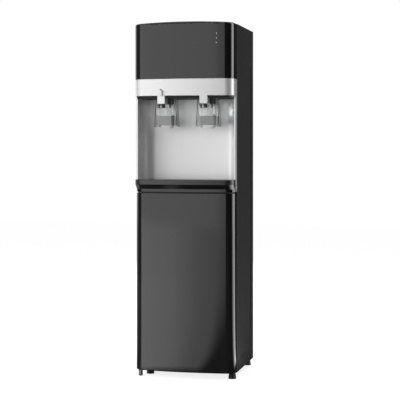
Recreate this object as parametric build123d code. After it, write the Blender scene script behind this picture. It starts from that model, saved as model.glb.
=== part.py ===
from build123d import *
import os

# Bottom load water cooler. Millimetres, +Z up, -Y is the front, origin on the floor
# under the middle of the whole object.

# ---------------------------------------------------------------- driving dimensions
SHEET = 1.0                 # steel sheet
WALL = 3.0                  # moulded plastic wall
SEAT = 0.3                  # clearance of a seated or moving piece
RUNNING_CLEARANCE = 0.05    # radial clearance of a running fit

BOTTLE_RADIUS = 137.0
BOTTLE_SIDE_ROOM = 15.5     # beside the bottle, for the folded flanges of the sides
FRONT_BOW = 12.0            # the middle of the front stands this far ahead of its corners
CORNER_RADIUS = 29.0
MOULDING_RETURN = 55.0      # front mouldings run back this far before the steel sides start
CONDENSER_STANDOFF = 18.0

FOOT_HEIGHT = 18.0
FOOT_BOTTOM_RADIUS = 12.0
FOOT_TOP_RADIUS = 9.5
FOOT_INSET = 14.0           # foot centre to the side of the cabinet
FRONT_FOOT_DEPTH = 54.0
HINGE_SIDE_FOOT_DEPTH = 80.0
HINGE_SIDE_FOOT_INSET = 31.0
REAR_FOOT_INSET = 27.0

DOOR_FLOOR_GAP = 3.5        # door above the underside of the pan
DOOR_HEIGHT = 531.0
DOOR_HEAD_GAP = 4.0
DOOR_SETBACK = 15.0         # the door lies behind the mouldings above it
DOOR_SKIN = 3.0
DOOR_LINER_DEPTH = 25.0     # the liner is dished this far into the door
DOOR_CABINET_GAP = 6.0      # door's rear face to the steel sides
HINGE_INSET = 11.5
HINGE_FROM_BACK = 9.0       # hinge line ahead of the door's rear face
HINGE_PIN_RADIUS = 3.0
HINGE_FOOT_RADIUS = 6.2

RAIL_LIP_HEIGHT = 8.0
FINGER_GAP = 13.5
LEDGE_HEIGHT = 14.5
LEDGE_DEPTH = 31.0
TRAY_DEPTH = 12.0           # tray's seat below the ledge
ALCOVE_HEIGHT = 242.5
ALCOVE_DEPTH = 115.0        # inner face of the back wall, behind the corner line
ALCOVE_COVE = 37.0          # plan radius between the side walls and the back wall
ALCOVE_EDGE_DEPTH = 32.0    # front edge of the alcove's side walls
CHEEK = 4.5                 # side wall thickness where it shows outside
UNDERSIDE_HEIGHT = 7.0
UNDERSIDE_INSET = 5.0
BAND_HEIGHT = 50.0
FASCIA_HEIGHT = 165.0
CROWN = 4.0

TAP_SPACING = 129.0
TAP_HOOD_WIDTH = 24.0
TAP_HOOD_DROP = 23.5        # the hoods hang this far under the band
TAP_HOOD_BACK = 25.0
NOZZLE_DEPTH = 17.0
NOZZLE_RADIUS = 6.0
NOZZLE_DROP = 12.0
TAP_BODY_WIDTH = 44.0
TAP_BODY_FRONT = 27.0
TAP_BODY_BACK = 64.0
TAP_INLET_HEIGHT = 15.0     # inlet above the band's lower edge
PIVOT_DEPTH = 35.0
PIVOT_DROP = 7.5            # lever pin under the hood
PIVOT_PIN_RADIUS = 1.6
LUG_OFFSET = 17.0
LUG_THICKNESS = 4.0
LEVER_WIDTH = 46.0
LEVER_ARM_LENGTH = 24.0     # pin to the top of the lever's box
LEVER_BOX_HEIGHT = 40.5
LEVER_PLATE_FRONT = 30.0
LEVER_WALL = 3.0
PAD_WIDTH = 42.0
PAD_HEIGHT = 26.5
PAD_TOP_MARGIN = 4.0
PAD_THICKNESS = 2.2
CORE_BACK = 66.0
GUARD_WALL = 2.0
GUARD_ABOVE_LEVER = 4.5     # guard's rim above the bottom of the lever
GUARD_TOP_HALF_WIDTH = 31.0
GUARD_BOTTOM_HALF_WIDTH = 36.0
GUARD_FRONT = 46.0
GUARD_BACK = 86.0
GUARD_OVERHANG = 20.0       # trimmed off the front to leave the guard open there

JACKET_RADIUS = 90.0
JACKET_FRONT_ROOM = 6.5     # alcove's back wall to the foam jacket
JACKET_REAR_ROOM = 10.5     # foam jacket to the rear panel

# ------------------------------------------------------------------ worked-out places
CABINET_WIDTH = 2 * (BOTTLE_RADIUS + BOTTLE_SIDE_ROOM)
HALF_WIDTH = CABINET_WIDTH / 2
INNER_HALF_WIDTH = HALF_WIDTH - SHEET

JACKET_DEPTH = ALCOVE_DEPTH + WALL + JACKET_FRONT_ROOM + JACKET_RADIUS
REAR_DEPTH = JACKET_DEPTH + JACKET_RADIUS + JACKET_REAR_ROOM
BODY_DEPTH = REAR_DEPTH + FRONT_BOW
FRONT_Y = -(BODY_DEPTH + CONDENSER_STANDOFF) / 2
CORNER_Y = FRONT_Y + FRONT_BOW
REAR_Y = FRONT_Y + BODY_DEPTH
PANEL_FRONT_Y = CORNER_Y + MOULDING_RETURN
REAR_FOOT_DEPTH = REAR_DEPTH - REAR_FOOT_INSET
DOOR_BACK = MOULDING_RETURN - DOOR_CABINET_GAP
HINGE_DEPTH = DOOR_BACK - HINGE_FROM_BACK
HINGE_X = -HALF_WIDTH + HINGE_INSET
HINGE_Y = CORNER_Y + HINGE_DEPTH

PAN_TOP = FOOT_HEIGHT + SHEET
DOOR_BOTTOM = FOOT_HEIGHT + DOOR_FLOOR_GAP
DOOR_TOP = DOOR_BOTTOM + DOOR_HEIGHT
RAIL_BOTTOM = DOOR_TOP + DOOR_HEAD_GAP
RAIL_LIP_TOP = RAIL_BOTTOM + RAIL_LIP_HEIGHT
LEDGE_BOTTOM = RAIL_LIP_TOP + FINGER_GAP
LEDGE_TOP = LEDGE_BOTTOM + LEDGE_HEIGHT
TRAY_FLOOR = LEDGE_BOTTOM - TRAY_DEPTH
DECK_TOP = RAIL_BOTTOM + WALL + 1.5     # steel deck that carries the machinery
ALCOVE_TOP = LEDGE_TOP + ALCOVE_HEIGHT
BAND_BOTTOM = ALCOVE_TOP + UNDERSIDE_HEIGHT
BAND_TOP = BAND_BOTTOM + BAND_HEIGHT
BODY_TOP = BAND_TOP + FASCIA_HEIGHT     # top edge of the steel sides

TAPS = {"hot": -TAP_SPACING / 2, "cold": TAP_SPACING / 2}
TAP_HOOD_BOTTOM = BAND_BOTTOM - TAP_HOOD_DROP
NOZZLE_BOTTOM = TAP_HOOD_BOTTOM - NOZZLE_DROP
TAP_INLET_Z = BAND_BOTTOM + TAP_INLET_HEIGHT
PIVOT_Z = TAP_HOOD_BOTTOM - PIVOT_DROP
LEVER_PLATE_TOP = PIVOT_Z - LEVER_ARM_LENGTH
LEVER_BOTTOM = LEVER_PLATE_TOP - LEVER_BOX_HEIGHT
PAD_TOP = LEVER_PLATE_TOP - PAD_TOP_MARGIN
PAD_BOTTOM = PAD_TOP - PAD_HEIGHT
GUARD_BOTTOM = LEVER_BOTTOM + GUARD_ABOVE_LEVER


# ------------------------------------------------------------------------ shape tools
def depth(distance):
    """Y of a point this far behind the front corner line."""
    return CORNER_Y + distance


def block(low, high):
    """Box between two corners."""
    size = [b - a for a, b in zip(low, high)]
    centre = [(a + b) / 2 for a, b in zip(low, high)]
    return Pos(*centre) * Box(*size)


def post(x, y, bottom, top, radius, top_radius=None):
    """Upright cylinder, or a cone when a top radius is given."""
    middle = Pos(x, y, (bottom + top) / 2)
    if top_radius is None:
        return middle * Cylinder(radius, top - bottom)
    return middle * Cone(radius, top_radius, top - bottom)


def rod(start, end, radius):
    """Round bar between two points."""
    line = Vector(*end) - Vector(*start)
    middle = (Vector(*end) + Vector(*start)) * 0.5
    frame = Plane(origin=middle, z_dir=line)
    return frame * Cylinder(radius, line.length)


def prism(face, bottom, top):
    """Upright extrusion of a plan face between two heights."""
    return extrude(Pos(0, 0, bottom) * face, amount=top - bottom, dir=(0, 0, 1))


def bow_outline(inset, back_y, setback=0.0):
    """Plan of a front moulding: bowed front, round corners, straight sides."""
    half = HALF_WIDTH - inset
    corner = CORNER_Y + setback + inset
    front = ThreePointArc((-half, corner), (0, corner - FRONT_BOW), (half, corner))
    rest = Polyline((half, corner), (half, back_y), (-half, back_y), (-half, corner))
    face = make_face([front, *rest.edges()])
    corners = face.vertices().sort_by(Axis.Y)[:2]
    return fillet(corners, CORNER_RADIUS - inset)


def bow_depth_at(x):
    """Y of the bowed front surface at a place across the front."""
    half = HALF_WIDTH
    radius = (half**2 + FRONT_BOW**2) / (2 * FRONT_BOW)
    return CORNER_Y - FRONT_BOW + radius - (radius**2 - x**2) ** 0.5


def bow_shell(bottom, top, back_y, wall, setback=0.0):
    """Front moulding as a U-shaped shell, open at the back."""
    outer = prism(bow_outline(0, back_y, setback), bottom, top)
    return outer - prism(bow_outline(wall, back_y + wall, setback), bottom, top)


def round_rectangle(width, height, radius):
    return RectangleRounded(width, height, radius)


def tube_run(points, radius, bend):
    """Tube along straight runs with tangent bends."""
    path = FilletPolyline(*points, radius=bend)
    start = Plane(origin=path @ 0, z_dir=path % 0)
    return sweep(start * Circle(radius), path=path)


# ---------------------------------------------------------------------- cabinet shell
EMBOSS_FRONT = 92.0
EMBOSS_BACK = REAR_DEPTH - 34
EMBOSS_BOTTOM = FOOT_HEIGHT + 34
EMBOSS_TOP = BODY_TOP - 95
EMBOSS_RADIUS = 26.0
EMBOSS_DEPTH = 2.5
EMBOSS_SLOPE = 40.0
FOLD_RADIUS = 1.8
FLANGE = 11.0
RIM_HEIGHT = 16.0


def fold_waste():
    """What the fold's outer radius takes off the front corner of a steel side."""
    corner = block(
        (HALF_WIDTH - FOLD_RADIUS, PANEL_FRONT_Y, FOOT_HEIGHT),
        (HALF_WIDTH, PANEL_FRONT_Y + FOLD_RADIUS, BODY_TOP),
    )
    return corner - post(
        HALF_WIDTH - FOLD_RADIUS, PANEL_FRONT_Y + FOLD_RADIUS, FOOT_HEIGHT, BODY_TOP, FOLD_RADIUS
    )


def side_panel(side):
    """Steel side with a pressed field and folded flanges; side is -1 or 1."""
    plate = block((INNER_HALF_WIDTH, PANEL_FRONT_Y, FOOT_HEIGHT), (HALF_WIDTH, REAR_Y, BODY_TOP))
    front_flange = block(
        (HALF_WIDTH - FLANGE, PANEL_FRONT_Y, PAN_TOP + RIM_HEIGHT + SEAT),
        (HALF_WIDTH, PANEL_FRONT_Y + SHEET, RAIL_BOTTOM - SEAT),
    )
    rear_flange = block(
        (HALF_WIDTH - FLANGE, REAR_Y - 2 * SHEET, PAN_TOP + RIM_HEIGHT + SEAT),
        (HALF_WIDTH, REAR_Y - SHEET, BODY_TOP - CROWN - FLANGE),
    )
    top_flange = block(
        (HALF_WIDTH - FLANGE, PANEL_FRONT_Y, BODY_TOP - CROWN - WALL - SHEET),
        (HALF_WIDTH, REAR_Y - SHEET, BODY_TOP - CROWN - WALL),
    )
    middle_y = depth((EMBOSS_FRONT + EMBOSS_BACK) / 2)
    middle_z = (EMBOSS_BOTTOM + EMBOSS_TOP) / 2
    field = Plane(origin=(HALF_WIDTH, middle_y, middle_z), x_dir=(0, 1, 0), z_dir=(-1, 0, 0))
    width = EMBOSS_BACK - EMBOSS_FRONT
    height = EMBOSS_TOP - EMBOSS_BOTTOM
    pocket = extrude(
        field * round_rectangle(width, height, EMBOSS_RADIUS), amount=EMBOSS_DEPTH, taper=EMBOSS_SLOPE
    )
    swell = Pos(-SHEET, 0, 0) * extrude(
        field * round_rectangle(width + SHEET, height + SHEET, EMBOSS_RADIUS + SHEET / 2),
        amount=EMBOSS_DEPTH,
        taper=EMBOSS_SLOPE,
    )
    panel = plate + front_flange + rear_flange + top_flange + swell - pocket
    slot = block(
        (HALF_WIDTH - 2 * FLANGE, REAR_Y - SHEET, FOOT_HEIGHT), (INNER_HALF_WIDTH, REAR_Y + SHEET, BODY_TOP)
    )
    panel -= slot
    panel -= fold_waste()
    if side > 0:
        return panel
    return mirror(panel, about=Plane.YZ)


BASE_FRONT = 30.0


def base_pan():
    """Pressed pan with an upturned rim and a plain tongue under the door."""
    outline = bow_outline(SHEET + SEAT, REAR_Y - SHEET, BASE_FRONT)
    plate = prism(outline, FOOT_HEIGHT, PAN_TOP)
    rear = REAR_Y - SHEET - SEAT
    front = PANEL_FRONT_Y + SHEET
    half = INNER_HALF_WIDTH - SEAT
    plate -= post(HINGE_X, HINGE_Y, FOOT_HEIGHT - 1, PAN_TOP + 1, HINGE_PIN_RADIUS + 1 + RUNNING_CLEARANCE)
    rim = block((-half, front, PAN_TOP), (half, rear, PAN_TOP + RIM_HEIGHT))
    rim -= block((-half + SHEET, front + SHEET, PAN_TOP), (half - SHEET, rear - SHEET, PAN_TOP + RIM_HEIGHT))
    return plate + rim


def foot_places():
    right = HALF_WIDTH - FOOT_INSET
    return [
        (right, depth(FRONT_FOOT_DEPTH)),
        (-HALF_WIDTH + HINGE_SIDE_FOOT_INSET, depth(HINGE_SIDE_FOOT_DEPTH)),
        (right, depth(REAR_FOOT_DEPTH)),
        (-right, depth(REAR_FOOT_DEPTH)),
    ]


def feet():
    """Four flared moulded feet, fixed under the pan."""
    cones = [post(x, y, 0, FOOT_HEIGHT, FOOT_BOTTOM_RADIUS, FOOT_TOP_RADIUS) for x, y in foot_places()]
    return Compound(children=cones)


VENT_COUNT = 9
VENT_PITCH = 11.0
VENT_LENGTH = 84.0
VENT_HEIGHT = 5.0
VENT_BOTTOM = DECK_TOP + 99
VENT_X = HALF_WIDTH - 82.5
COPPER_RADIUS = 3.0
LINE_HOLE_CLEARANCE = 1.5
DISCHARGE_X = -HALF_WIDTH + 34.5
DISCHARGE_Z = DECK_TOP + 61
SWITCH_X = HALF_WIDTH - 56.5
SWITCH_Z = BODY_TOP - 107
SWITCH_PLATE_WIDTH = 34.0
SWITCH_PLATE_HEIGHT = 60.0
INLET_X = HALF_WIDTH - 40.5
INLET_Z = DECK_TOP + 79
INLET_WIDTH = 28.0
INLET_HEIGHT = 21.0
DRAIN_X = HALF_WIDTH - 72.5
DRAIN_Z = DECK_TOP + 44
DRAIN_RADIUS = 8.0


def rear_panel():
    """Flat steel back with vents and the openings for inlet, switches, drain and lines."""
    half = INNER_HALF_WIDTH - SEAT
    plate = block((-half, REAR_Y - SHEET, PAN_TOP + SEAT), (half, REAR_Y, BODY_TOP - CROWN - WALL))
    for side in (-1, 1):
        for index in range(VENT_COUNT):
            z = VENT_BOTTOM + index * VENT_PITCH
            slot = Plane(origin=(side * VENT_X, REAR_Y, z), x_dir=(1, 0, 0), z_dir=(0, -1, 0))
            plate -= extrude(slot * SlotOverall(VENT_LENGTH, VENT_HEIGHT), amount=3 * SHEET, both=True)
    line_hole = COPPER_RADIUS + LINE_HOLE_CLEARANCE
    holes = [(DISCHARGE_X, DISCHARGE_Z, line_hole), (DISCHARGE_X, CONDENSER_BOTTOM_Z, line_hole)]
    holes.append((DRAIN_X, DRAIN_Z, DRAIN_RADIUS + SEAT))
    for x, z, radius in holes:
        plate -= rod((x, REAR_Y - 2 * SHEET, z), (x, REAR_Y + SHEET, z), radius)
    for x, z, width, height in (
        (SWITCH_X, SWITCH_Z, SWITCH_PLATE_WIDTH - 6, SWITCH_PLATE_HEIGHT - 6),
        (INLET_X, INLET_Z, INLET_WIDTH, INLET_HEIGHT),
    ):
        plate -= block(
            (x - width / 2, REAR_Y - 2 * SHEET, z - height / 2), (
                x + width / 2, REAR_Y + SHEET, z + height / 2
            )
        )
    return plate


def crown_body(drop, inset):
    """Upright block under a crowned top surface, lowered by drop."""
    half = HALF_WIDTH
    rise = ThreePointArc((-half, BODY_TOP - drop), (0, BODY_TOP + CROWN - drop), (half, BODY_TOP - drop))
    low = BODY_TOP - CROWN - WALL
    rest = Polyline((half, BODY_TOP - drop), (half, low), (-half, low), (-half, BODY_TOP - drop))
    face = Plane.XZ * make_face([rise, *rest.edges()])
    arch = extrude(face, amount=BODY_DEPTH, both=True)
    outline = bow_outline(inset, REAR_Y - inset)
    return arch & prism(outline, low, BODY_TOP + CROWN)


def top_cover():
    """Crowned lid with a skirt, dropped between the fascia and the steel sides."""
    inset = WALL + SEAT
    lid = crown_body(0, inset)
    return lid - crown_body(WALL, inset + WALL)


# ----------------------------------------------------------------------- front mouldings
FASCIA_EDGE_RADIUS = 4.0
LENS_X = HALF_WIDTH - 49
LENS_TOP_Z = BODY_TOP - 33
LENS_PITCH = 13.5
LENS_RADIUS = 2.0
LENS_COUNT = 3
BOARD_THICKNESS = 1.6
BOARD_GAP = 8.0
BOARD_POST_X = (-60.0, 40.0)
BOARD_POST_Z = (BAND_TOP + 33, BAND_TOP + 108)
BOARD_DEPTH = 12.0
BOARD_MARGIN = 8.0
BOARD_POST_RADIUS = 3.0


def lens_heights():
    return [LENS_TOP_Z - index * LENS_PITCH for index in range(LENS_COUNT)]


def control_fascia():
    """Bowed front of the head, wrapped round both corners."""
    outer = prism(bow_outline(0, PANEL_FRONT_Y - SEAT), BAND_TOP + SEAT, BODY_TOP)
    top_edges = outer.edges().group_by(Axis.Z)[-1].sort_by(Axis.Y)[:-1]
    outer = fillet(top_edges, FASCIA_EDGE_RADIUS)
    hollow = prism(bow_outline(WALL, PANEL_FRONT_Y + WALL), BAND_TOP, BODY_TOP - CROWN - WALL)
    lid_seat = prism(bow_outline(WALL, PANEL_FRONT_Y + WALL), BAND_TOP, BODY_TOP + CROWN)
    shell = outer - hollow - lid_seat
    for z in lens_heights():
        shell -= rod(
            (LENS_X, depth(-FRONT_BOW), z), (LENS_X, depth(FRONT_BOW), z), LENS_RADIUS + RUNNING_CLEARANCE
        )
    for z in (LENS_TOP_Z + 8, LENS_TOP_Z - LENS_COUNT * LENS_PITCH):
        shell += block((LENS_X - 3, bow_depth_at(LENS_X) + WALL / 2, z - 2), (LENS_X + 3, depth(BOARD_GAP), z + 2))
    for x in BOARD_POST_X:
        for z in BOARD_POST_Z:
            shell += rod((x, bow_depth_at(x) + WALL / 2, z), (x, depth(BOARD_DEPTH), z), BOARD_POST_RADIUS)
    return shell


def control_board():
    """Main circuit board with its relays and transformer, on posts behind the fascia."""
    x0, x1 = BOARD_POST_X
    z0, z1 = BOARD_POST_Z
    front = depth(BOARD_DEPTH)
    back = front + BOARD_THICKNESS
    board = block((x0 - BOARD_MARGIN, front, z0 - BOARD_MARGIN), (x1 + BOARD_MARGIN, back, z1 + BOARD_MARGIN))
    transformer = block((x0, back, z0 + 8), (x0 + 34, back + 28, z0 + 40))
    relays = [
        block((x1 - 20 * (i + 1), back, z0 + 8), (x1 - 20 * i - 5, back + 16, z0 + 28)) for i in range(2)
    ]
    capacitor = rod((x0 + 60, back, z1 - 15), (x0 + 60, back + 22, z1 - 15), 8)
    return board + [transformer, *relays, capacitor]


def indicator_lenses():
    """Three round lenses, pressed into the fascia."""
    lenses = []
    corner = bow_outline(0, PANEL_FRONT_Y)
    for z in lens_heights():
        stem = rod((LENS_X, depth(-FRONT_BOW), z), (LENS_X, depth(BOARD_GAP - 2.5), z), LENS_RADIUS)
        lenses.append(stem & prism(corner, z - LENS_RADIUS, z + LENS_RADIUS))
    return Compound(children=lenses)


def indicator_board():
    """Small board with one lamp behind each lens."""
    front = depth(BOARD_GAP)
    back = front + BOARD_THICKNESS
    low = LENS_TOP_Z - LENS_COUNT * LENS_PITCH - 5
    board = block((LENS_X - 9, front, low), (LENS_X + 9, back, LENS_TOP_Z + 13))
    lamps = [rod((LENS_X, front - 2.2, z), (LENS_X, front, z), LENS_RADIUS) for z in lens_heights()]
    return board + lamps


LOCK_X = TAPS["hot"] - 1
LOCK_WIDTH = 9.0
LOCK_HEIGHT = 18.0
LOCK_BOTTOM = BAND_BOTTOM - 1
LOCK_PROUD = 6.0
LOCK_TRAVEL = 7.0
LOCK_STEM_WIDTH = 5.0
LOCK_STEM_HEIGHT = 10.0
LOCK_PLATE = 2.0
BAND_EDGE = 1.0
HOOD_WALL = 2.2


def hood(x):
    """Spout hood: the band carried down and back over the spout."""
    half = TAP_HOOD_WIDTH / 2
    front = depth(-FRONT_BOW)
    shape = block((x - half, front, TAP_HOOD_BOTTOM), (x + half, depth(TAP_HOOD_BACK), BAND_BOTTOM + WALL))
    shape &= prism(bow_outline(0, PANEL_FRONT_Y), TAP_HOOD_BOTTOM, BAND_BOTTOM + WALL)
    corners = shape.edges().filter_by(Axis.Z).sort_by(Axis.Y)[:2]
    return fillet(corners, 1.5)


def hood_hollow(x):
    half = TAP_HOOD_WIDTH / 2 - HOOD_WALL
    low = TAP_HOOD_BOTTOM + HOOD_WALL
    outline = prism(bow_outline(WALL, PANEL_FRONT_Y), low, BAND_BOTTOM + WALL)
    return outline & block((x - half, depth(-FRONT_BOW), low), (x + half, depth(TAP_HOOD_BACK + 1), BAND_TOP))


def tap_band():
    """Silver band across the front with the two spout hoods moulded on."""
    back = PANEL_FRONT_Y - SEAT
    outer = prism(bow_outline(0, back), BAND_BOTTOM, BAND_TOP)
    rims = outer.edges().filter_by(Axis.Z, reverse=True).sort_by(Axis.Y)
    outer = fillet([rim for rim in rims if rim.center().Y < back - 1], BAND_EDGE)
    shell = outer - prism(bow_outline(WALL, back + WALL), BAND_BOTTOM, BAND_TOP)
    for x in TAPS.values():
        shell += hood(x)
    for x in TAPS.values():
        shell -= hood_hollow(x)
        shell -= post(x, depth(NOZZLE_DEPTH), TAP_HOOD_BOTTOM - 1, TAP_HOOD_BOTTOM + 4, NOZZLE_RADIUS + SEAT)
    slot_low = LOCK_BOTTOM + (LOCK_HEIGHT - LOCK_STEM_HEIGHT) / 2 - SEAT
    slot_high = slot_low + LOCK_STEM_HEIGHT + LOCK_TRAVEL + 2 * SEAT
    half = LOCK_STEM_WIDTH / 2 + SEAT
    shell -= block((LOCK_X - half, depth(-FRONT_BOW), slot_low), (LOCK_X + half, depth(0), slot_high))
    return shell


def child_lock():
    """Raised slide button with a stem through the band and a retaining plate behind it."""
    half = LOCK_WIDTH / 2
    face = bow_depth_at(LOCK_X)
    front = face - SEAT - LOCK_PROUD
    button = block(
        (LOCK_X - half, front, LOCK_BOTTOM), (LOCK_X + half, face - SEAT, LOCK_BOTTOM + LOCK_HEIGHT)
    )
    button = fillet(button.edges().filter_by(Axis.X).sort_by(Axis.Y)[:2], 2.5)
    middle = LOCK_BOTTOM + LOCK_HEIGHT / 2
    stem_low = middle - LOCK_STEM_HEIGHT / 2
    stem_half = LOCK_STEM_WIDTH / 2
    back = face + WALL + 2 * SEAT
    stem = block(
        (LOCK_X - stem_half, face - 1, stem_low), (LOCK_X + stem_half, back, stem_low + LOCK_STEM_HEIGHT)
    )
    plate = block(
        (LOCK_X - half, back, stem_low - 3),
        (LOCK_X + half, back + LOCK_PLATE, stem_low + LOCK_STEM_HEIGHT + 3)
    )
    return button + stem + plate


def head_underside():
    """Black plate that closes the head over the alcove, pierced for the taps."""
    back = depth(ALCOVE_DEPTH + WALL)
    outline = bow_outline(UNDERSIDE_INSET, back)
    plate = prism(outline, ALCOVE_TOP, BAND_BOTTOM - SEAT)
    plate -= prism(bow_outline(UNDERSIDE_INSET + WALL, back - WALL), ALCOVE_TOP + WALL, BAND_BOTTOM)
    for x in TAPS.values():
        half = TAP_HOOD_WIDTH / 2 + SEAT
        plate -= block(
            (x - half, depth(-FRONT_BOW), ALCOVE_TOP - 1),
            (x + half, depth(TAP_HOOD_BACK + SEAT), BAND_BOTTOM)
        )
        stem = TAP_STEM_WIDTH / 2 + SEAT
        plate -= block(
            (x - stem, depth(TAP_STEM_FRONT) - SEAT, ALCOVE_TOP - 1), (
                x + stem, depth(TAP_STEM_BACK) + SEAT, BAND_BOTTOM
            )
        )
    return plate


LINER_SIDE_INSET = 1.3


def alcove_liner():
    """Silver U-shaped liner with a large cove at each back corner and full-height cheeks."""
    inner_half = HALF_WIDTH - CHEEK
    outer_half = HALF_WIDTH - LINER_SIDE_INSET
    front = depth(ALCOVE_EDGE_DEPTH)
    bottom = TRAY_FLOOR + SEAT
    top = ALCOVE_TOP - SEAT
    low = (-outer_half, front, bottom)
    outer = block(low, (outer_half, depth(ALCOVE_DEPTH) + WALL, top))
    outer = fillet(outer.edges().filter_by(Axis.Z).sort_by(Axis.Y)[-2:], ALCOVE_COVE + WALL)
    inner = block((-inner_half, front - 1, bottom - 1), (inner_half, depth(ALCOVE_DEPTH), top + 1))
    inner = fillet(inner.edges().filter_by(Axis.Z).sort_by(Axis.Y)[-2:], ALCOVE_COVE)
    liner = outer - inner
    for side in (-1, 1):
        x0, x1 = sorted((side * inner_half, side * HALF_WIDTH))
        cheek_top = BAND_BOTTOM - SEAT
        liner += block((x0, front, LEDGE_BOTTOM), (x1, PANEL_FRONT_Y - SEAT, cheek_top))
        liner += block((x0, depth(DOOR_BACK - 3), RAIL_BOTTOM), (x1, PANEL_FRONT_Y - SEAT, LEDGE_BOTTOM))
    return liner


def mid_rail():
    """Black rail over the door: lip, tapered finger gap, and the pan the drip tray sits in."""
    back = depth(ALCOVE_DEPTH) + WALL
    lip = prism(bow_outline(0, PANEL_FRONT_Y, DOOR_SETBACK), RAIL_BOTTOM, RAIL_LIP_TOP)
    lower = Pos(0, 0, RAIL_LIP_TOP) * bow_outline(0, PANEL_FRONT_Y, DOOR_SETBACK)
    upper = Pos(0, 0, LEDGE_BOTTOM) * bow_outline(0, PANEL_FRONT_Y)
    wedge = loft([lower, upper])
    half = HALF_WIDTH - CHEEK - SEAT
    pan = block((-half, depth(LEDGE_DEPTH), TRAY_FLOOR - WALL), (half, back, TRAY_FLOOR))
    rail = lip + wedge
    for side in (-1, 1):
        x0, x1 = sorted((side * half, side * (HALF_WIDTH + 1)))
        rail -= block((x0, depth(ALCOVE_EDGE_DEPTH) - SEAT, RAIL_BOTTOM - 1), (x1, back, LEDGE_BOTTOM + 1))
    tray_half = TRAY_HALF_WIDTH + SEAT
    rail -= block((-tray_half, depth(TRAY_FRONT) - SEAT, TRAY_FLOOR), (tray_half, back, LEDGE_BOTTOM + 1))
    core = half - WALL
    rail -= block((-core, depth(DOOR_SETBACK + WALL), RAIL_BOTTOM - 1), (core, back, TRAY_FLOOR - WALL))
    return rail + pan


TRAY_HALF_WIDTH = HALF_WIDTH - 13.5
TRAY_FRONT = 22.0
TRAY_BACK_GAP = 2.5
TRAY_WALL = 2.0
TRAY_CORNER = 36.0
GRILLE_THICKNESS = 3.0
GRILLE_RECESS = 3.4
GRILLE_SEAT = 2.5


def tray_plan(inset, front, back):
    """Plan of the basin: square at the front, rounded to follow the alcove at the back."""
    half = TRAY_HALF_WIDTH - inset
    near = front + inset
    far = back - inset
    plan = make_face(Polyline((-half, near), (half, near), (half, far), (-half, far), close=True))
    corners = plan.vertices().sort_by(Axis.Y)[-2:]
    return fillet(corners, TRAY_CORNER - inset)


def drip_tray():
    """Lift-out tray: bowed ledge at the front, open basin with a step for the grille."""
    back = depth(ALCOVE_DEPTH) - TRAY_BACK_GAP
    ledge = prism(bow_outline(0, depth(LEDGE_DEPTH)), LEDGE_BOTTOM + SEAT, LEDGE_TOP)
    ledge = fillet(ledge.edges().group_by(Axis.Z)[-1].sort_by(Axis.Y)[:-1], 1.2)
    basin = prism(tray_plan(0, depth(TRAY_FRONT), back), TRAY_FLOOR + SEAT, LEDGE_TOP - 1.5)
    tray = ledge + basin
    hollow = prism(
        tray_plan(TRAY_WALL + GRILLE_SEAT, depth(TRAY_FRONT), back), TRAY_FLOOR + SEAT + TRAY_WALL,
        LEDGE_TOP + 1
    )
    step = prism(
        tray_plan(TRAY_WALL, depth(TRAY_FRONT), back), LEDGE_TOP - 1.5 - GRILLE_RECESS, LEDGE_TOP + 1
    )
    return tray - hollow - step


GRILLE_SLOTS = 19
GRILLE_SLOT_WIDTH = 6.0
GRILLE_SLOT_LENGTH = 62.0


def drip_grille():
    """Slotted plate that drops into the tray."""
    back = depth(ALCOVE_DEPTH) - TRAY_BACK_GAP
    top = LEDGE_TOP - 1.5 - GRILLE_RECESS + GRILLE_THICKNESS
    plate = prism(tray_plan(TRAY_WALL + SEAT, depth(TRAY_FRONT), back), top - GRILLE_THICKNESS, top)
    pitch = 2 * (TRAY_HALF_WIDTH - 14) / (GRILLE_SLOTS - 1)
    middle = (depth(TRAY_FRONT) + back) / 2
    for index in range(GRILLE_SLOTS):
        x = -(TRAY_HALF_WIDTH - 14) + index * pitch
        near_end = index in (0, GRILLE_SLOTS - 1)
        length = GRILLE_SLOT_LENGTH * (0.6 if near_end else 1)
        slot = Pos(x, middle, top) * SlotOverall(length, GRILLE_SLOT_WIDTH, rotation=90)
        plate -= extrude(slot, amount=2 * GRILLE_THICKNESS, both=True)
    return plate


def machine_deck():
    """Steel shelf over the bottle space that carries the compressor, tanks and pump."""
    half = INNER_HALF_WIDTH - EMBOSS_DEPTH - SEAT
    front = PANEL_FRONT_Y + SHEET + SEAT
    back = REAR_Y - 2 * SHEET - SEAT
    plate = block((-half, front, DECK_TOP - SHEET), (half, back, DECK_TOP))
    plate += block((-half, back - SHEET, DECK_TOP - 14), (half, back, DECK_TOP))
    for side in (-1, 1):
        x0, x1 = sorted((side * (half - SHEET), side * half))
        plate += block((x0, front, DECK_TOP - 14), (x1, back, DECK_TOP))
    plate -= post(PROBE_X, depth(PROBE_DEPTH), DECK_TOP - 2, DECK_TOP + 1, HOSE_RADIUS + 1)
    return plate - post(CONDENSER_LEFT, depth(DRYER_DEPTH), DECK_TOP - 2, DECK_TOP + 1, CAPILLARY_RADIUS + 1)


# --------------------------------------------------------------------------------- taps
TAP_STEM_WIDTH = 30.0
TAP_STEM_FRONT = TAP_BODY_FRONT + 3
TAP_STEM_BACK = TAP_BODY_BACK - 4
TAP_STEM_TOP = TAP_INLET_Z + 15
TAP_NUT_HEIGHT = 3.5
SPOUT_RADIUS = 7.0
SPOUT_Z = TAP_HOOD_BOTTOM + 9.5
SPOUT_FRONT = 9.5
BARB_RADIUS = 3.5
BARB_END = TAP_BODY_BACK + 10
NOZZLE_STEM_RADIUS = 4.0
LUG_HALF_DEPTH = 5.0
LEVER_ARM_HALF = 4.5
LEVER_CHAMFER = 7.0


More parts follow.
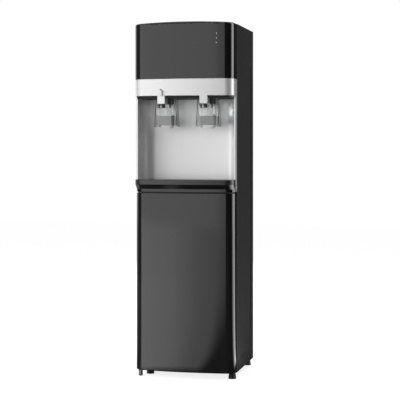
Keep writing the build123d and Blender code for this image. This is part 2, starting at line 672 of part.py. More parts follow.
def tap_body(x):
    """Black valve body hung through the underside plate, with its spout and pivot lugs."""
    half = TAP_BODY_WIDTH / 2
    stem = TAP_STEM_WIDTH / 2
    top = ALCOVE_TOP - SEAT
    low = block((x - half, depth(TAP_BODY_FRONT), TAP_HOOD_BOTTOM), (x + half, depth(TAP_BODY_BACK), top))
    low = chamfer(low.faces().sort_by(Axis.Z)[0].edges().sort_by(Axis.Y)[-1:], 6)
    body = low + block((x - stem, depth(TAP_STEM_FRONT), top), (x + stem, depth(TAP_STEM_BACK), TAP_STEM_TOP))
    nut_low = ALCOVE_TOP + WALL + SEAT
    body += block(
        (x - stem - 4, depth(TAP_STEM_FRONT - 3), nut_low),
        (x + stem + 4, depth(TAP_STEM_BACK + 3), nut_low + TAP_NUT_HEIGHT),
    )
    body += rod((x, depth(SPOUT_FRONT), SPOUT_Z), (x, depth(TAP_BODY_FRONT + 3), SPOUT_Z), SPOUT_RADIUS)
    body += rod((x, depth(TAP_STEM_BACK - 2), TAP_INLET_Z), (x, depth(BARB_END), TAP_INLET_Z), BARB_RADIUS)
    for side in (-1, 1):
        lug_x = x + side * LUG_OFFSET
        half_lug = LUG_THICKNESS / 2
        lug = block(
            (lug_x - half_lug, depth(PIVOT_DEPTH - LUG_HALF_DEPTH), PIVOT_Z),
            (lug_x + half_lug, depth(PIVOT_DEPTH + LUG_HALF_DEPTH), TAP_HOOD_BOTTOM + 1),
        )
        lug += rod(
            (lug_x - half_lug, depth(PIVOT_DEPTH), PIVOT_Z),
            (lug_x + half_lug, depth(PIVOT_DEPTH), PIVOT_Z), LUG_HALF_DEPTH
        )
        body += lug
    reach = LUG_OFFSET + LUG_THICKNESS
    body -= rod(
        (x - reach, depth(PIVOT_DEPTH), PIVOT_Z),
        (x + reach, depth(PIVOT_DEPTH), PIVOT_Z),
        PIVOT_PIN_RADIUS + RUNNING_CLEARANCE,
    )
    body -= post(x, depth(NOZZLE_DEPTH), SPOUT_Z - SPOUT_RADIUS - 1, SPOUT_Z + 1, NOZZLE_STEM_RADIUS)
    return body


def nozzle(x):
    """Turned spout tip with a stepped mouth, pushed up into the spout."""
    y = depth(NOZZLE_DEPTH)
    shoulder = SPOUT_Z - SPOUT_RADIUS - SEAT
    tip = post(x, y, NOZZLE_BOTTOM, shoulder, NOZZLE_RADIUS - 1, NOZZLE_RADIUS)
    tip += post(x, y, shoulder, SPOUT_Z, NOZZLE_STEM_RADIUS - RUNNING_CLEARANCE)
    return tip - post(x, y, NOZZLE_BOTTOM - 1, SPOUT_Z - 1, NOZZLE_STEM_RADIUS - 1.5)


def lever_profile(inset):
    """Front view of the lever's box: flat top, chamfered lower corners."""
    half = LEVER_WIDTH / 2 - inset
    low = LEVER_BOTTOM + inset
    cut = LEVER_CHAMFER - inset * 0.6
    points = [
        (-half, LEVER_PLATE_TOP), (half, LEVER_PLATE_TOP), (half, low + cut),
        (half - cut, low), (-half + cut, low), (-half, low + cut),
    ]
    return make_face(Polyline(*points, close=True))


def push_lever(x):
    """Clear push lever: an open box on two arms that turn on the pivot pin."""
    front = Plane(origin=(x, depth(LEVER_PLATE_FRONT), 0), x_dir=(1, 0, 0), z_dir=(0, -1, 0))
    box_depth = CORE_BACK - LEVER_PLATE_FRONT + 2
    box = extrude(front * lever_profile(0), amount=-box_depth)
    inner = Plane(origin=(x, depth(LEVER_PLATE_FRONT + LEVER_WALL), 1), x_dir=(1, 0, 0), z_dir=(0, -1, 0))
    box -= extrude(inner * lever_profile(LEVER_WALL), amount=-box_depth)
    pad_half = PAD_WIDTH / 2
    recess = (x - pad_half, depth(LEVER_PLATE_FRONT) - 1, PAD_BOTTOM)
    box -= block(recess, (x + pad_half, depth(LEVER_PLATE_FRONT + 1), PAD_TOP))
    inner_x = LUG_OFFSET + LUG_THICKNESS / 2 + SEAT
    outer_x = LEVER_WIDTH / 2
    for side in (-1, 1):
        x0, x1 = sorted((x + side * inner_x, x + side * outer_x))
        arm = block(
            (x0, depth(PIVOT_DEPTH - LEVER_ARM_HALF), LEVER_PLATE_TOP - 4),
            (x1, depth(PIVOT_DEPTH + LEVER_ARM_HALF), PIVOT_Z),
        )
        arm += rod((x0, depth(PIVOT_DEPTH), PIVOT_Z), (x1, depth(PIVOT_DEPTH), PIVOT_Z), LEVER_ARM_HALF)
        box += arm
    return box - rod(
        (x - LEVER_WIDTH, depth(PIVOT_DEPTH), PIVOT_Z),
        (x + LEVER_WIDTH, depth(PIVOT_DEPTH), PIVOT_Z),
        PIVOT_PIN_RADIUS + RUNNING_CLEARANCE,
    )


def lever_pad(x):
    """Grey push pad let into the front of the lever."""
    half = PAD_WIDTH / 2 - RUNNING_CLEARANCE
    back = depth(LEVER_PLATE_FRONT + 1) - RUNNING_CLEARANCE
    pad = block((x - half, back - PAD_THICKNESS, PAD_BOTTOM + RUNNING_CLEARANCE), (x + half, back, PAD_TOP))
    return fillet(pad.faces().sort_by(Axis.Y)[0].edges(), 0.8)


def lever_core(x):
    """Black block held in the lever's box behind the pad."""
    half = LEVER_WIDTH / 2 - LEVER_WALL - RUNNING_CLEARANCE
    front = depth(LEVER_PLATE_FRONT + LEVER_WALL) + RUNNING_CLEARANCE
    core = block((x - half, front, PAD_BOTTOM), (x + half, depth(CORE_BACK), PAD_TOP))
    return fillet(core.faces().sort_by(Axis.Y)[-1].edges(), 3)


def lever_pin(x):
    reach = LEVER_WIDTH / 2 + 1
    return rod(
        (x - reach, depth(PIVOT_DEPTH), PIVOT_Z), (x + reach, depth(PIVOT_DEPTH), PIVOT_Z), PIVOT_PIN_RADIUS
    )


SPRING_TURNS = 5
SPRING_PITCH = 1.8
SPRING_WIRE_RADIUS = 0.5
SPRING_RADIUS = 2.6
QUARTERS = 4


def lever_spring(x):
    """Torsion spring on the pin: one wire wound in quarter-turn arcs."""
    def on_coil(turn):
        offset = Vector(0, SPRING_RADIUS, 0).rotate(Axis.X, 360 * turn)
        along = x + (turn - SPRING_TURNS / 2) * SPRING_PITCH
        return Vector(along, depth(PIVOT_DEPTH) + offset.Y, PIVOT_Z + offset.Z)

    arcs = []
    for index in range(SPRING_TURNS * QUARTERS):
        turn = index / QUARTERS
        arcs.append(
            ThreePointArc(on_coil(turn), on_coil(turn + 0.5 / QUARTERS), on_coil(turn + 1 / QUARTERS))
        )
    path = Wire([arc.edge() for arc in arcs])
    start = Plane(origin=path @ 0, z_dir=path % 0)
    return sweep(start * Circle(SPRING_WIRE_RADIUS), path=path)


def guard_layer(inset, bottom, top):
    """Flared body of the splash guard, wider at the bottom."""
    def section(z):
        share = (z - GUARD_BOTTOM) / (ALCOVE_TOP - GUARD_BOTTOM)
        half = GUARD_BOTTOM_HALF_WIDTH + (GUARD_TOP_HALF_WIDTH - GUARD_BOTTOM_HALF_WIDTH) * share - inset
        middle = depth((GUARD_FRONT - GUARD_OVERHANG + GUARD_BACK) / 2)
        length = GUARD_BACK - GUARD_FRONT + GUARD_OVERHANG - 2 * inset
        return Pos(0, middle, z) * RectangleRounded(2 * half, length, 14 - inset)

    return loft([section(bottom), section(top)])


def splash_guard(x):
    """Clear flared guard behind the lever, open at the front and below."""
    top = ALCOVE_TOP - SEAT
    shell = guard_layer(0, GUARD_BOTTOM, top) - guard_layer(GUARD_WALL, GUARD_BOTTOM - 1, top - GUARD_WALL)
    open_front = block(
        (-HALF_WIDTH, depth(GUARD_FRONT - 2 * GUARD_OVERHANG), GUARD_BOTTOM - 2), (
            HALF_WIDTH, depth(GUARD_FRONT), top + 1
        )
    )
    shell -= open_front
    half = TAP_BODY_WIDTH / 2 + SEAT
    shell -= block((-half, depth(TAP_BODY_FRONT), top - 30), (half, depth(TAP_BODY_BACK) + SEAT, top + 1))
    return Pos(x, 0, 0) * shell


# --------------------------------------------------------------------------------- door
BOSS_RADIUS = 8.0
BOSS_HEIGHT = 22.0
BUSH_RADIUS = 5.0
BUSH_LENGTH = 15.0
BUSH_FLANGE = 1.0
BUSH_FLANGE_RADIUS = 7.0
DISH_LEFT = HINGE_X + 17
DISH_RIGHT = HALF_WIDTH - 21.5
DISH_BOTTOM = DOOR_BOTTOM + 23.5
DISH_TOP = DOOR_TOP - 24.5
DISH_RADIUS = 18.0
LINER_WALL = 2.0
HINGE_PLATE = 1.5
HINGE_GAP = 0.5


def door_panel():
    """Bowed door skin: a deep pan with its rim and the two hinge bosses."""
    back = depth(DOOR_BACK)
    outer = prism(bow_outline(0, back, DOOR_SETBACK), DOOR_BOTTOM, DOOR_TOP)
    hinge_edge = outer.edges().filter_by(Axis.Z).sort_by(Axis.Y)[-2:].sort_by(Axis.X)[0]
    outer = fillet(hinge_edge, 4.0)
    for group in (0, -1):
        rim = outer.edges().group_by(Axis.Z)[group].sort_by(Axis.Y)[:-1]
        outer = fillet(rim, 1.5)
    hollow = prism(
        bow_outline(DOOR_SKIN, back + 1, DOOR_SETBACK), DOOR_BOTTOM + DOOR_SKIN, DOOR_TOP - DOOR_SKIN
    )
    panel = outer - hollow
    low_boss = post(HINGE_X, HINGE_Y, DOOR_BOTTOM + 1, DOOR_BOTTOM + BOSS_HEIGHT, BOSS_RADIUS)
    high_boss = post(HINGE_X, HINGE_Y, DOOR_TOP - BOSS_HEIGHT, DOOR_TOP - 1, BOSS_RADIUS)
    panel += (low_boss + high_boss) & prism(bow_outline(1, back, DOOR_SETBACK), DOOR_BOTTOM, DOOR_TOP)
    bore = BUSH_RADIUS + RUNNING_CLEARANCE
    seat = BUSH_FLANGE_RADIUS + RUNNING_CLEARANCE
    for end, way in ((DOOR_BOTTOM, 1), (DOOR_TOP, -1)):
        deep = end + way * (BUSH_LENGTH + SEAT)
        panel -= post(HINGE_X, HINGE_Y, *sorted((end - way, deep)), bore)
        panel -= post(HINGE_X, HINGE_Y, *sorted((end - way, end + way * BUSH_FLANGE)), seat)
    return panel


def door_bushes():
    """Flanged plastic bushes in the two hinge bosses."""
    bushes = []
    for end, way in ((DOOR_BOTTOM, 1), (DOOR_TOP, -1)):
        bush = post(HINGE_X, HINGE_Y, *sorted((end, end + way * BUSH_LENGTH)), BUSH_RADIUS)
        bush += post(HINGE_X, HINGE_Y, *sorted((end, end + way * BUSH_FLANGE)), BUSH_FLANGE_RADIUS)
        bush -= post(
            HINGE_X, HINGE_Y, end - 2 * BUSH_LENGTH, end + 2 * BUSH_LENGTH,
            HINGE_PIN_RADIUS + RUNNING_CLEARANCE
        )
        bushes.append(bush)
    return Compound(children=bushes)


def dish(inset, front, back):
    width = DISH_RIGHT - DISH_LEFT - 2 * inset
    height = DISH_TOP - DISH_BOTTOM - 2 * inset
    place = Plane(
        origin=((DISH_LEFT + DISH_RIGHT) / 2, back, (DISH_BOTTOM + DISH_TOP) / 2), x_dir=(1, 0, 0), z_dir=(
            0, -1, 0
        )
    )
    return extrude(place * RectangleRounded(width, height, DISH_RADIUS - inset), amount=back - front)


def door_liner():
    """Dished inner panel that leaves room for the bottle."""
    back = depth(DOOR_BACK)
    gap = DOOR_SKIN + SEAT
    rim = prism(bow_outline(gap, back, DOOR_SETBACK), DOOR_BOTTOM + gap, DOOR_TOP - gap)
    rim &= block(
        (-HALF_WIDTH, back - LINER_WALL, DOOR_BOTTOM), (HALF_WIDTH, back, DOOR_TOP)
    )
    floor = depth(DOOR_BACK - DOOR_LINER_DEPTH)
    liner = rim + dish(0, floor - LINER_WALL, back) - dish(LINER_WALL, floor, back + 1)
    clear = BOSS_RADIUS + SEAT
    for low, high in ((DOOR_BOTTOM, DOOR_BOTTOM + BOSS_HEIGHT), (DOOR_TOP - BOSS_HEIGHT, DOOR_TOP)):
        liner -= block((-HALF_WIDTH, HINGE_Y, low - SEAT), (HINGE_X + clear, back + 1, high + SEAT))
    return liner


STRIKE_LEFT = HALF_WIDTH - 10
STRIKE_RIGHT = HALF_WIDTH - 3.5
STRIKE_LOW = DOOR_TOP - 66.5
STRIKE_HIGH = DOOR_TOP - 26.5
STRIKE_THICKNESS = 1.2


def door_strike():
    """Steel strike plate on the free edge of the liner."""
    back = depth(DOOR_BACK)
    return block((STRIKE_LEFT, back, STRIKE_LOW), (STRIKE_RIGHT, back + STRIKE_THICKNESS, STRIKE_HIGH))


def door_magnet():
    """Magnet block on the cabinet's front flange, facing the strike."""
    front = depth(DOOR_BACK) + STRIKE_THICKNESS + SEAT
    magnet = block(
        (STRIKE_LEFT - 0.5, front, STRIKE_LOW - 4), (HALF_WIDTH - 2, PANEL_FRONT_Y, STRIKE_HIGH + 4)
    )
    return fillet(magnet.edges().filter_by(Axis.Z).sort_by(Axis.Y)[:2], 1)


HINGE_PIN_LENGTH = 13.0


def hinge_leaf(bottom, top):
    """Flat hinge plate in the corner under or over the door."""
    leaf = block((-HALF_WIDTH + 2, depth(BASE_FRONT + 3), bottom), (HINGE_X + 26, PANEL_FRONT_Y - SEAT, top))
    return fillet(leaf.edges().filter_by(Axis.Z).sort_by(Axis.Y)[:2], 6)


def lower_hinge():
    """Bottom hinge: plate, upright pin and the small foot that carries the corner."""
    leaf = hinge_leaf(PAN_TOP, PAN_TOP + HINGE_PLATE)
    pin = post(HINGE_X, HINGE_Y, PAN_TOP, DOOR_BOTTOM + HINGE_PIN_LENGTH, HINGE_PIN_RADIUS)
    stem = post(HINGE_X, HINGE_Y, FOOT_HEIGHT - 2, PAN_TOP + 1, HINGE_PIN_RADIUS + 1)
    foot = post(HINGE_X, HINGE_Y, 0, FOOT_HEIGHT, HINGE_FOOT_RADIUS)
    return leaf + pin + stem + foot


def upper_hinge():
    """Top hinge: plate under the rail with a pin down into the door."""
    top = RAIL_BOTTOM - SEAT
    leaf = hinge_leaf(top - HINGE_PLATE, top)
    return leaf + post(HINGE_X, HINGE_Y, DOOR_TOP - HINGE_PIN_LENGTH, top - HINGE_PLATE / 2, HINGE_PIN_RADIUS)


# ------------------------------------------------------------------------- bottle space
BOTTLE_DEPTH = REAR_DEPTH - BOTTLE_RADIUS - 12
BOTTLE_TRAY_RISE = 3.0
BOTTLE_RING = 3.0
PROBE_X = HALF_WIDTH - 30.5
PROBE_DEPTH = REAR_DEPTH - 35
PROBE_RADIUS = 7.0
PROBE_BOTTOM = PAN_TOP + 47
PROBE_TOP = DECK_TOP - 91
PROBE_COLLAR_RADIUS = 21.0
PROBE_COLLAR_HEIGHT = 22.0
HOSE_RADIUS = 5.0
HOSE_BEND = 14.0
HOLDER_WIDTH = 20.0


def bottle_tray():
    """Moulded floor on the pan's rim with a low ring that centres the bottle."""
    half = INNER_HALF_WIDTH - EMBOSS_DEPTH - SHEET - SEAT
    low = PAN_TOP + RIM_HEIGHT + SEAT
    top = low + WALL
    front = PANEL_FRONT_Y + SHEET + SEAT
    back = REAR_Y - 2 * SHEET - SEAT
    plate = block((-half, front, low), (half, back, top))
    plate = fillet(plate.edges().filter_by(Axis.Z), 6)
    skirt = block((-half + 4, front + 4, PAN_TOP + SEAT), (half - 4, back - 4, low))
    skirt -= block((-half + 4 + WALL, front + 4 + WALL, PAN_TOP), (half - 4 - WALL, back - 4 - WALL, low))
    middle = depth(BOTTLE_DEPTH)
    ring = post(0, middle, top, top + BOTTLE_TRAY_RISE, BOTTLE_RADIUS)
    ring -= post(0, middle, top, top + BOTTLE_TRAY_RISE, BOTTLE_RADIUS - BOTTLE_RING)
    ring &= block((-half, front, top), (half, back, top + BOTTLE_TRAY_RISE))
    return plate + skirt + ring


def bottle_probe():
    """Dip tube with its bottle collar, parked upright in the rear corner."""
    y = depth(PROBE_DEPTH)
    tube = post(PROBE_X, y, PROBE_BOTTOM, PROBE_TOP + 1, PROBE_RADIUS)
    collar = post(
        PROBE_X, y, PROBE_TOP, PROBE_TOP + PROBE_COLLAR_HEIGHT, PROBE_COLLAR_RADIUS, PROBE_COLLAR_RADIUS - 4
    )
    collar = fillet(collar.edges().sort_by(Axis.Z)[-1], 3)
    probe = tube + collar
    for z in (PROBE_BOTTOM + 6, PROBE_BOTTOM + 14):
        probe -= rod((PROBE_X - 20, y, z), (PROBE_X + 20, y, z), 2)
    return probe


def probe_holder():
    """Strip on the steel back with a foot cup and two ring clips for the probe."""
    y = depth(PROBE_DEPTH)
    back = REAR_Y - SHEET
    half = HOLDER_WIDTH / 2
    low = PROBE_BOTTOM - WALL - SEAT
    strip = block((PROBE_X - half, back - WALL, low), (PROBE_X + half, back, PROBE_TOP - 20))
    holder = strip
    for z0, z1 in (
        (low, low + 16), (PROBE_BOTTOM + 150, PROBE_BOTTOM + 162), (PROBE_TOP - 42, PROBE_TOP - 30)
    ):
        holder += post(PROBE_X, y, z0, z1, PROBE_RADIUS + SEAT + 2.5)
        holder += block((PROBE_X - 5, y, z0), (PROBE_X + 5, back - 1, z1))
    return holder - post(PROBE_X, y, PROBE_BOTTOM - SEAT, PROBE_TOP, PROBE_RADIUS + SEAT)


# ---------------------------------------------------------------------- water machinery
SHELF_TOP = ALCOVE_TOP - 45 - SEAT
SHELF_FRONT = ALCOVE_DEPTH + WALL + 4
JACKET_BOTTOM = ALCOVE_TOP - 45
JACKET_TOP = JACKET_BOTTOM + 212
COLD_TANK_RADIUS = JACKET_RADIUS - 16
COLD_TANK_CORNER = 8.0
FOAM_FLOOR = 12.0
FOAM_LID = 14.0
HOT_TANK_X = HALF_WIDTH - 57.5
HOT_TANK_RADIUS = 46.0
HOT_TANK_DEPTH = ALCOVE_DEPTH + WALL + 12 + HOT_TANK_RADIUS
HOT_TANK_BOTTOM = DECK_TOP + 20
HOT_TANK_TOP = HOT_TANK_BOTTOM + 171
FEED_X = 20.0
HOT_TANK_CORNER = 14.0
HOT_OUTLET_HEIGHT = 10.0
BARB_LENGTH = 8.0
BARB_BORE = 2.5
TANK_WALL = 1.2
HOT_FEED_X = 40.0
HOT_FEED_Z = HOT_TANK_BOTTOM + 59
HOT_FEED_DEPTH = HOT_TANK_DEPTH + HOT_TANK_RADIUS + BARB_LENGTH + 25
HOT_HOSE_Z = TAP_INLET_Z + 28
HOT_HOSE_DEPTH = BARB_END + 24
COLD_STUB_X = 20.0
COLD_HOSE_DEPTH = BARB_END + 29
PUMP_RADIUS = 16.0
PUMP_Z = DECK_TOP + 21
PUMP_FRONT = ALCOVE_DEPTH + WALL + 17
PUMP_HEAD_FRONT = PUMP_FRONT + 40
PUMP_HEAD_BACK = PUMP_HEAD_FRONT + 24
FEED_DEPTH = (PUMP_HEAD_FRONT + PUMP_HEAD_BACK) / 2
PUMP_HEAD_HALF = 14.0
PROBE_HOSE_Z = DECK_TOP + 67


def upper_shelf():
    """Folded steel shelf under the cold tank, pierced for the hoses."""
    half = INNER_HALF_WIDTH - EMBOSS_DEPTH - SEAT
    front = depth(SHELF_FRONT)
    back = REAR_Y - 2 * SHEET - SEAT
    shelf = block((-half, front, SHELF_TOP - SHEET), (half, back, SHELF_TOP))
    for y in (front, back - SHEET):
        shelf += block((-half, y, SHELF_TOP - 12), (half, y + SHEET, SHELF_TOP))
    for side in (-1, 1):
        x0, x1 = sorted((side * (half - SHEET), side * half))
        shelf += block((x0, front, SHELF_TOP - 12), (x1, back, SHELF_TOP))
    holes = [
        (FEED_X, FEED_DEPTH), (HOT_FEED_X, HOT_FEED_DEPTH), (HOT_TANK_X, HOT_TANK_DEPTH),
        (SUCTION_X, SUCTION_DEPTH)
    ]
    for x, distance in holes:
        shelf -= post(x, depth(distance), SHELF_TOP - 2, SHELF_TOP + 1, HOSE_RADIUS + 1)
    shelf -= post(CAPILLARY_END_X, depth(DRYER_DEPTH), SHELF_TOP - 2, SHELF_TOP + 1, CAPILLARY_RADIUS + 1)
    return shelf


def tank_shell(x, y, bottom, top, radius, corner):
    """Closed round tank of thin steel with rounded ends."""
    outside = post(x, y, bottom, top, radius)
    outside = fillet(outside.edges().filter_by(GeomType.CIRCLE), corner)
    inside = post(x, y, bottom + TANK_WALL, top - TANK_WALL, radius - TANK_WALL)
    return outside, fillet(inside.edges().filter_by(GeomType.CIRCLE), corner - TANK_WALL)


def cold_tank():
    """Steel tank with rounded ends and its outlet stub."""
    y = depth(JACKET_DEPTH)
    bottom = JACKET_BOTTOM + FOAM_FLOOR + SEAT
    tank, water = tank_shell(0, y, bottom, JACKET_TOP - SEAT, COLD_TANK_RADIUS, COLD_TANK_CORNER)
    stub = rod(
        (COLD_STUB_X, y, TAP_INLET_Z), (COLD_STUB_X, depth(JACKET_DEPTH - JACKET_RADIUS - 1), TAP_INLET_Z),
        BARB_RADIUS
    )
    bore_end = (COLD_STUB_X, depth(JACKET_DEPTH - JACKET_RADIUS - 2), TAP_INLET_Z)
    return tank + stub - water - rod((COLD_STUB_X, y, TAP_INLET_Z), bore_end, BARB_BORE)


def cold_tank_jacket():
    """Foam sleeve and floor round the cold tank."""
    y = depth(JACKET_DEPTH)
    jacket = post(0, y, JACKET_BOTTOM, JACKET_TOP, JACKET_RADIUS)
    jacket -= post(0, y, JACKET_BOTTOM + FOAM_FLOOR, JACKET_TOP + 1, COLD_TANK_RADIUS + SEAT)
    stub_end = (COLD_STUB_X, depth(JACKET_DEPTH - JACKET_RADIUS - 5), TAP_INLET_Z)
    return jacket - rod((COLD_STUB_X, y, TAP_INLET_Z), stub_end, BARB_RADIUS + SEAT)


def cold_tank_lid():
    """Foam lid with a plug that enters the sleeve's rim."""
    y = depth(JACKET_DEPTH)
    lid = post(0, y, JACKET_TOP + SEAT, JACKET_TOP + FOAM_LID, JACKET_RADIUS)
    return fillet(lid.edges().filter_by(GeomType.CIRCLE).sort_by(Axis.Z)[-1], 4)


def hot_tank():
    """Domed steel tank with its feed, drain and outlet barbs."""
    y = depth(HOT_TANK_DEPTH)
    tank, water = tank_shell(HOT_TANK_X, y, HOT_TANK_BOTTOM, HOT_TANK_TOP, HOT_TANK_RADIUS, HOT_TANK_CORNER)
    feed_end = (HOT_TANK_X, depth(HOT_TANK_DEPTH + HOT_TANK_RADIUS) + BARB_LENGTH, HOT_FEED_Z)
    outlet_top = HOT_TANK_TOP + HOT_OUTLET_HEIGHT
    tank += rod((HOT_TANK_X, y, HOT_FEED_Z), feed_end, BARB_RADIUS)
    tank += post(HOT_TANK_X, y, HOT_FEED_Z, outlet_top, BARB_RADIUS)
    tank -= water
    tank -= rod((HOT_TANK_X, y, HOT_FEED_Z), feed_end, BARB_BORE)
    return tank - post(HOT_TANK_X, y, HOT_FEED_Z, outlet_top, BARB_BORE)


def hot_tank_stand():
    """Bent steel cradle between the deck and the hot tank."""
    y = depth(HOT_TANK_DEPTH)
    ring = post(HOT_TANK_X, y, DECK_TOP, HOT_TANK_BOTTOM + 12, HOT_TANK_RADIUS - 4)
    ring -= post(HOT_TANK_X, y, DECK_TOP - 1, HOT_TANK_BOTTOM + 13, HOT_TANK_RADIUS - 5.2)
    seat = post(HOT_TANK_X, y, HOT_TANK_BOTTOM - SEAT - SHEET, HOT_TANK_BOTTOM - SEAT, HOT_TANK_RADIUS - 4)
    ring -= post(HOT_TANK_X, y, HOT_TANK_BOTTOM - SEAT, HOT_TANK_BOTTOM + 13, HOT_TANK_RADIUS)
    return ring + seat


def water_pump():
    """Small diaphragm pump: motor can, square head, two barbs and a saddle foot."""
    motor = rod(
        (FEED_X, depth(PUMP_FRONT), PUMP_Z), (FEED_X, depth(PUMP_HEAD_FRONT + 1), PUMP_Z), PUMP_RADIUS
    )
    motor = fillet(motor.edges().filter_by(GeomType.CIRCLE).sort_by(Axis.Y)[0], 2)
    head = block(
        (FEED_X - PUMP_HEAD_HALF, depth(PUMP_HEAD_FRONT), PUMP_Z - PUMP_HEAD_HALF),
        (FEED_X + PUMP_HEAD_HALF, depth(PUMP_HEAD_BACK), PUMP_Z + PUMP_HEAD_HALF),
    )
    head = fillet(head.edges().filter_by(Axis.Y), 3)
    foot = block(
        (FEED_X - 12, depth(PUMP_FRONT + 6), DECK_TOP), (FEED_X + 12, depth(PUMP_HEAD_FRONT - 2), PUMP_Z)
    )
    barb_up = post(FEED_X, depth(FEED_DEPTH), PUMP_Z, PUMP_Z + PUMP_HEAD_HALF + 8, BARB_RADIUS)
    barb_back = rod(
        (FEED_X, depth(PUMP_HEAD_BACK - 2), PUMP_Z + 4), (FEED_X, depth(PUMP_HEAD_BACK + 8), PUMP_Z + 4),
        BARB_RADIUS
    )
    return motor + head + foot + barb_up + barb_back


def probe_hose():
    """Silicone hose from the probe collar up through the deck to the pump."""
    low = PROBE_TOP + PROBE_COLLAR_HEIGHT
    y = depth(PROBE_DEPTH)
    points = [
        (PROBE_X, y, low), (PROBE_X, y, PROBE_HOSE_Z), (FEED_X, y, PROBE_HOSE_Z),
        (FEED_X, y, PUMP_Z + 4), (FEED_X, depth(PUMP_HEAD_BACK + 8), PUMP_Z + 4),
    ]
    return tube_run(points, HOSE_RADIUS, HOSE_BEND)


def tank_feed_hose():
    """Hose from the pump up to the floor of the cold tank."""
    low = PUMP_Z + PUMP_HEAD_HALF + 8
    return post(FEED_X, depth(FEED_DEPTH), low, JACKET_BOTTOM, HOSE_RADIUS)


def hot_feed_hose():
    """Hose from the cold tank down to the hot tank."""
    y = depth(HOT_FEED_DEPTH)
    end = depth(HOT_TANK_DEPTH + HOT_TANK_RADIUS + 8)
    points = [
        (HOT_FEED_X, y, JACKET_BOTTOM), (HOT_FEED_X, y, HOT_FEED_Z), (HOT_TANK_X, y, HOT_FEED_Z), (
            HOT_TANK_X, end, HOT_FEED_Z
        )
    ]
    return tube_run(points, HOSE_RADIUS, HOSE_BEND)


def hot_outlet_hose():
    """Hose from the top of the hot tank over to the hot tap."""
    y = depth(HOT_TANK_DEPTH)
    front = depth(HOT_HOSE_DEPTH)
    tap = TAPS["hot"]
    points = [
        (HOT_TANK_X, y, HOT_TANK_TOP + 10), (HOT_TANK_X, y, HOT_HOSE_Z), (HOT_TANK_X, front, HOT_HOSE_Z),
        (tap, front, HOT_HOSE_Z), (tap, front, TAP_INLET_Z), (tap, depth(BARB_END), TAP_INLET_Z),
    ]
    return tube_run(points, HOSE_RADIUS, 11)


def cold_outlet_hose():
    """Hose from the cold tank's stub to the cold tap."""
    tap = TAPS["cold"]
    front = depth(COLD_HOSE_DEPTH)
    points = [
        (tap, depth(BARB_END), TAP_INLET_Z), (tap, front, TAP_INLET_Z), (COLD_STUB_X, front, TAP_INLET_Z),
        (COLD_STUB_X, depth(JACKET_DEPTH - JACKET_RADIUS - 1), TAP_INLET_Z),
    ]
    return tube_run(points, HOSE_RADIUS, 10)


# -------------------------------------------------------------------------- cooling set
COMPRESSOR_X = -HALF_WIDTH + 80.5
COMPRESSOR_DEPTH = REAR_DEPTH - 100
COMPRESSOR_HALF_X = 60.0
COMPRESSOR_HALF_Y = 50.0
COMPRESSOR_HEIGHT = 128.0
CAN_INSET = 4.0
GROMMET_HEIGHT = 9.0
GROMMET_RADIUS = 9.0
GROMMET_X = 52.0
GROMMET_Y = 46.0
PLATE_THICKNESS = 2.0
SUCTION_X = COMPRESSOR_X + 32
SUCTION_DEPTH = REAR_DEPTH - 32
SUCTION_Z = DECK_TOP + 94
SUCTION_RADIUS = 4.0
RETURN_Z = 646.0
RETURN_X = -132.0


def compressor():
    """Welded steel can on its mounting plate, with the terminal box."""
    y = depth(COMPRESSOR_DEPTH)
    low = DECK_TOP + GROMMET_HEIGHT
    plate = block(
        (COMPRESSOR_X - COMPRESSOR_HALF_X, y - COMPRESSOR_HALF_Y - 4, low),
        (COMPRESSOR_X + COMPRESSOR_HALF_X, y + COMPRESSOR_HALF_Y + 4, low + PLATE_THICKNESS),
    )
    plate = fillet(plate.edges().filter_by(Axis.Z), 8)
    can = prism(
        Pos(COMPRESSOR_X, y) * Ellipse(COMPRESSOR_HALF_X - CAN_INSET, COMPRESSOR_HALF_Y), low,
        low + COMPRESSOR_HEIGHT
    )
    can = fillet(can.edges().group_by(Axis.Z)[-1], 24)
    seam_z = low + COMPRESSOR_HEIGHT * 0.5
    seam = prism(
        Pos(COMPRESSOR_X, y) * Ellipse(COMPRESSOR_HALF_X - 1, COMPRESSOR_HALF_Y + 3), seam_z, seam_z + 5
    )
    box = block(
        (COMPRESSOR_X - 26, y - COMPRESSOR_HALF_Y - 14, low + 20), (COMPRESSOR_X + 26, y - 30, low + 58)
    )
    return plate + can + seam + fillet(box.edges().filter_by(Axis.Y), 4)


def compressor_grommets():
    """Four rubber mounts between the deck and the compressor plate."""
    y = depth(COMPRESSOR_DEPTH)
    mounts = []
    for side_x in (-1, 1):
        for side_y in (-1, 1):
            place = (COMPRESSOR_X + side_x * GROMMET_X, y + side_y * GROMMET_Y)
            mount = post(*place, DECK_TOP, DECK_TOP + GROMMET_HEIGHT, GROMMET_RADIUS)
            waist = Pos(*place, DECK_TOP + GROMMET_HEIGHT / 2) * Torus(GROMMET_RADIUS + 1, 2.5)
            mounts.append(mount - waist)
    return Compound(children=mounts)


def can_back_y(x):
    """Y of the back of the compressor can at a place across it."""
    across = (x - COMPRESSOR_X) / (COMPRESSOR_HALF_X - CAN_INSET)
    return depth(COMPRESSOR_DEPTH) + COMPRESSOR_HALF_Y * (1 - across**2) ** 0.5


def suction_line():
    """Copper line from the cold tank down to the back of the compressor."""
    y = depth(SUCTION_DEPTH)
    end = can_back_y(SUCTION_X - SUCTION_RADIUS) + SEAT / 2
    points = [(SUCTION_X, y, JACKET_BOTTOM), (SUCTION_X, y, SUCTION_Z), (SUCTION_X, end, SUCTION_Z)]
    return tube_run(points, SUCTION_RADIUS, 12)


def discharge_line():
    """Copper line from the compressor back to the condenser's inlet."""
    end = can_back_y(DISCHARGE_X + COPPER_RADIUS) + SEAT / 2
    return rod((DISCHARGE_X, end, DISCHARGE_Z), (DISCHARGE_X, CONDENSER_INNER_Y, DISCHARGE_Z), COPPER_RADIUS)


